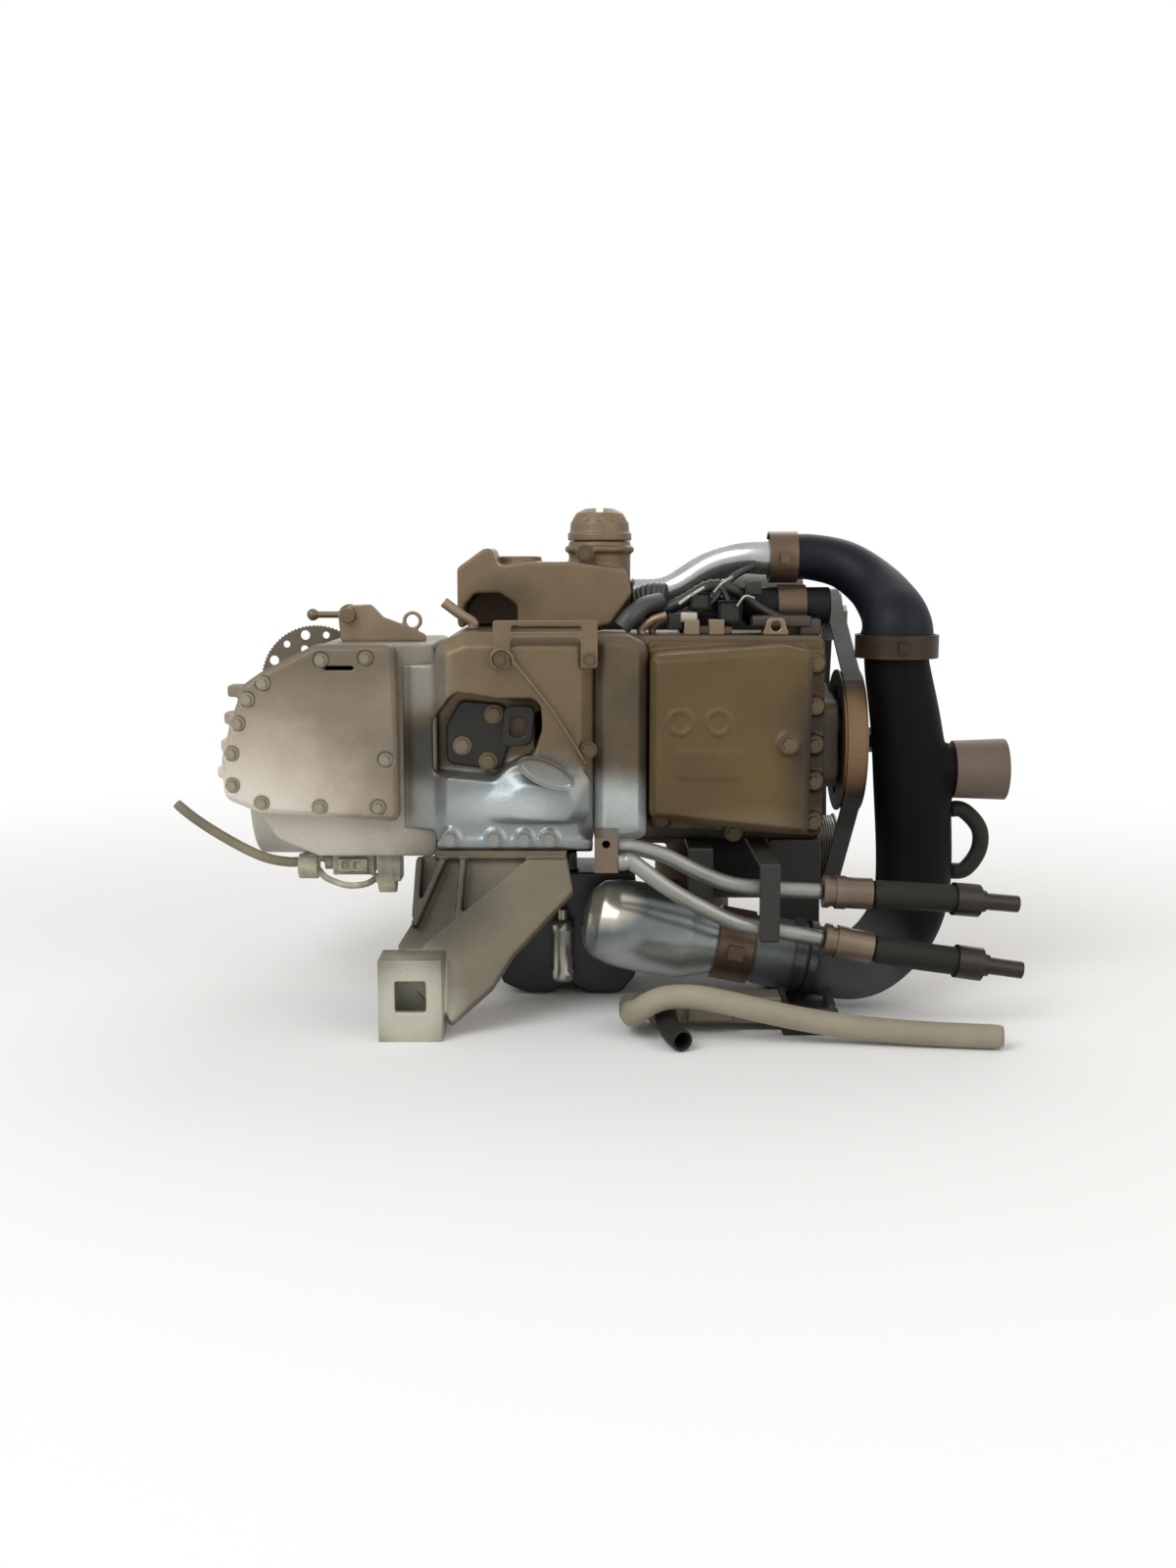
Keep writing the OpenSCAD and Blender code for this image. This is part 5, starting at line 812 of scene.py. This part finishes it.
class ENGINE_OT_lines(bpy.types.Operator):
    """Domed can, lower pipe, bright lines, hoses and straps"""

    bl_idname = "engine.lines"
    bl_label = "Lines and hoses"

    def execute(self, context):
        silver = surface("Line alloy", tones((0.55, 0.55, 0.53), 0.06), metal=0.7, rough=(0.25, 0.4),
                         grain=700, relief=0.08)
        lo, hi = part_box("domed_can")
        can = surface("Can alloy", tones((0.42, 0.45, 0.45), 0.08), [
            # Painted highlight on the top of the left dome, taking the polish
            ((lo.x + 0.025, lo.y + 0.02, hi.z - 0.02), (0.045, 0.05, 0.03), (0.85, 0.82, 0.75), 0.8, 0.3),
            # Painted reflection of the floor along the can's low side
            ((lo.x + 0.08, lo.y + 0.02, lo.z + 0.02), (0.13, 0.08, 0.04), (0.70, 0.71, 0.70), 0.9, 0.3)],
            metal=0.8, rough=(0.2, 0.34), grain=700, relief=0.06, polish=0.2)
        lo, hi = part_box("line_ends")
        ferrule = surface("Ferrule alloy", tones((0.44, 0.385, 0.33), 0.08), [
            ((hi.x - 0.03, lo.y, 0.11), (0.105, 0.2, 0.2), (0.17, 0.165, 0.145), 0.95, 0.05)],
            metal=0.7, rough=(0.28, 0.42), grain=900, relief=0.1)
        hose = surface("Hose rubber", tones((0.14, 0.135, 0.12), 0.1), rough=(0.5, 0.7), grain=1100,
                       relief=0.25, specular=0.2)
        coolant = surface("Coolant rubber", tones((0.54, 0.51, 0.44), 0.08), rough=(0.5, 0.7), grain=1100,
                          relief=0.25)
        vent = surface("Vent rubber", tones((0.50, 0.47, 0.38), 0.1), rough=(0.5, 0.7), grain=1100)
        paint = surface("Pipe paint", tones((0.36, 0.38, 0.38), 0.1), metal=0.35, rough=(0.3, 0.45))
        strap = surface("Strap rubber", tones((0.12, 0.115, 0.10)), rough=(0.5, 0.65))
        rounded_tube("bright_lines", silver)
        rounded_tube("short_hoses", hose)
        rounded_tube("coolant_hose", coolant)
        rounded_tube("vent_pipe", vent)
        rounded_tube("domed_can", can)
        rounded_tube("lower_pipe", paint)
        dress("line_ends", ferrule)
        casting("straps", strap, 0.0014, 1, 0.5)
        return {"FINISHED"}


class ENGINE_OT_brackets(bpy.types.Operator):
    """Mount bracket, feet, valve block, shield, plugs and the bolts"""

    bl_idname = "engine.brackets"
    bl_label = "Brackets and bolts"

    def execute(self, context):
        f = context.scene.engine_finish
        lo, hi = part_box("mount_bracket")
        steel = surface("Bracket steel", tones(f.bracket, 0.07), [
            # Painted shade on the web under the bell housing
            ((lo.x + 0.03, hi.y - 0.06, 0.125), (0.115, 0.12, 0.075), (0.225, 0.21, 0.175), 0.95, 0.15),
            # Painted light on the pale foot low at the front
            ((lo.x + 0.03, lo.y + 0.01, 0.035), (0.062, 0.07, 0.07), (0.74, 0.735, 0.67), 0.95, 0.25)],
            metal=0.35, rough=(0.42, 0.6), grain=620, relief=0.25)
        bolt = surface("Bolt steel", tones((0.50, 0.47, 0.42), 0.08), metal=0.75, rough=(0.3, 0.45),
                       grain=900, relief=0.08)
        wedge = surface("Wedge paint", tones((0.12, 0.11, 0.095), 0.2), rough=(0.5, 0.7))
        valve = surface("Valve alloy", tones((0.45, 0.42, 0.36), 0.08), metal=0.5)
        shield = surface("Shield plastic", tones((0.075, 0.075, 0.075), 0.15), rough=(0.3, 0.45))
        plug = surface("Plug plastic", tones((0.60, 0.58, 0.50), 0.2), rough=(0.45, 0.6), stains=40)
        casting("mount_bracket", steel, 0.0014, 1, 0.5)
        casting("wedge_foot", wedge, 0.0016, 1, 0.5)
        casting("valve_block", valve, 0.0014, 1, 0.5)
        casting("shield", shield, 0.0016, 1, 0.5)
        casting("plugs", plug, 0.0011, 1, 0.5)
        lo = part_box("front_bolts")[0]
        housing_bolts = surface("Housing bolts", tones((0.38, 0.32, 0.235), 0.08), [
            # Painted glare on the bolt heads across the left end
            ((lo.x, lo.y, 0.25), (0.30, 0.3, 0.25), (0.60, 0.57, 0.50), 0.9, 0.1),
            # Painted sheen on the bolts along the housing's silver belly
            ((-0.09, lo.y, 0.18), (0.12, 0.2, 0.04), (0.55, 0.56, 0.55), 0.9, 0.1)],
            metal=0.5, rough=(0.3, 0.45), grain=900, relief=0.08)
        dress("front_bolts", housing_bolts)
        dress("mount_bolts", bolt)
        return {"FINISHED"}


class ENGINE_PT_panel(bpy.types.Panel):
    """Lists the steps that dress the engine"""

    bl_label = "Engine"
    bl_idname = "ENGINE_PT_panel"
    bl_space_type = "VIEW_3D"
    bl_region_type = "UI"
    bl_category = "Engine"

    def draw(self, context):
        for step in STEPS:
            self.layout.operator(step.bl_idname)
        for group in (context.scene.engine_finish, context.scene.engine_stage):
            for name in group.__annotations__:
                self.layout.prop(group, name)


STEPS = (ENGINE_OT_stage, ENGINE_OT_gearbox, ENGINE_OT_bell, ENGINE_OT_block, ENGINE_OT_belt_drive,
         ENGINE_OT_inside, ENGINE_OT_top, ENGINE_OT_harness, ENGINE_OT_air_path, ENGINE_OT_lines,
         ENGINE_OT_brackets)
CLASSES = (EngineFinish, EngineStage, *STEPS, ENGINE_PT_panel)


def register():
    for cls in CLASSES:
        bpy.utils.register_class(cls)
    bpy.types.Scene.engine_finish = bpy.props.PointerProperty(type=EngineFinish)
    bpy.types.Scene.engine_stage = bpy.props.PointerProperty(type=EngineStage)


def unregister():
    del bpy.types.Scene.engine_stage
    del bpy.types.Scene.engine_finish
    for cls in reversed(CLASSES):
        bpy.utils.unregister_class(cls)


def main():
    register()
    for step in STEPS:
        area, name = step.bl_idname.split(".")
        getattr(getattr(bpy.ops, area), name)()


if __name__ == "__main__":
    main()
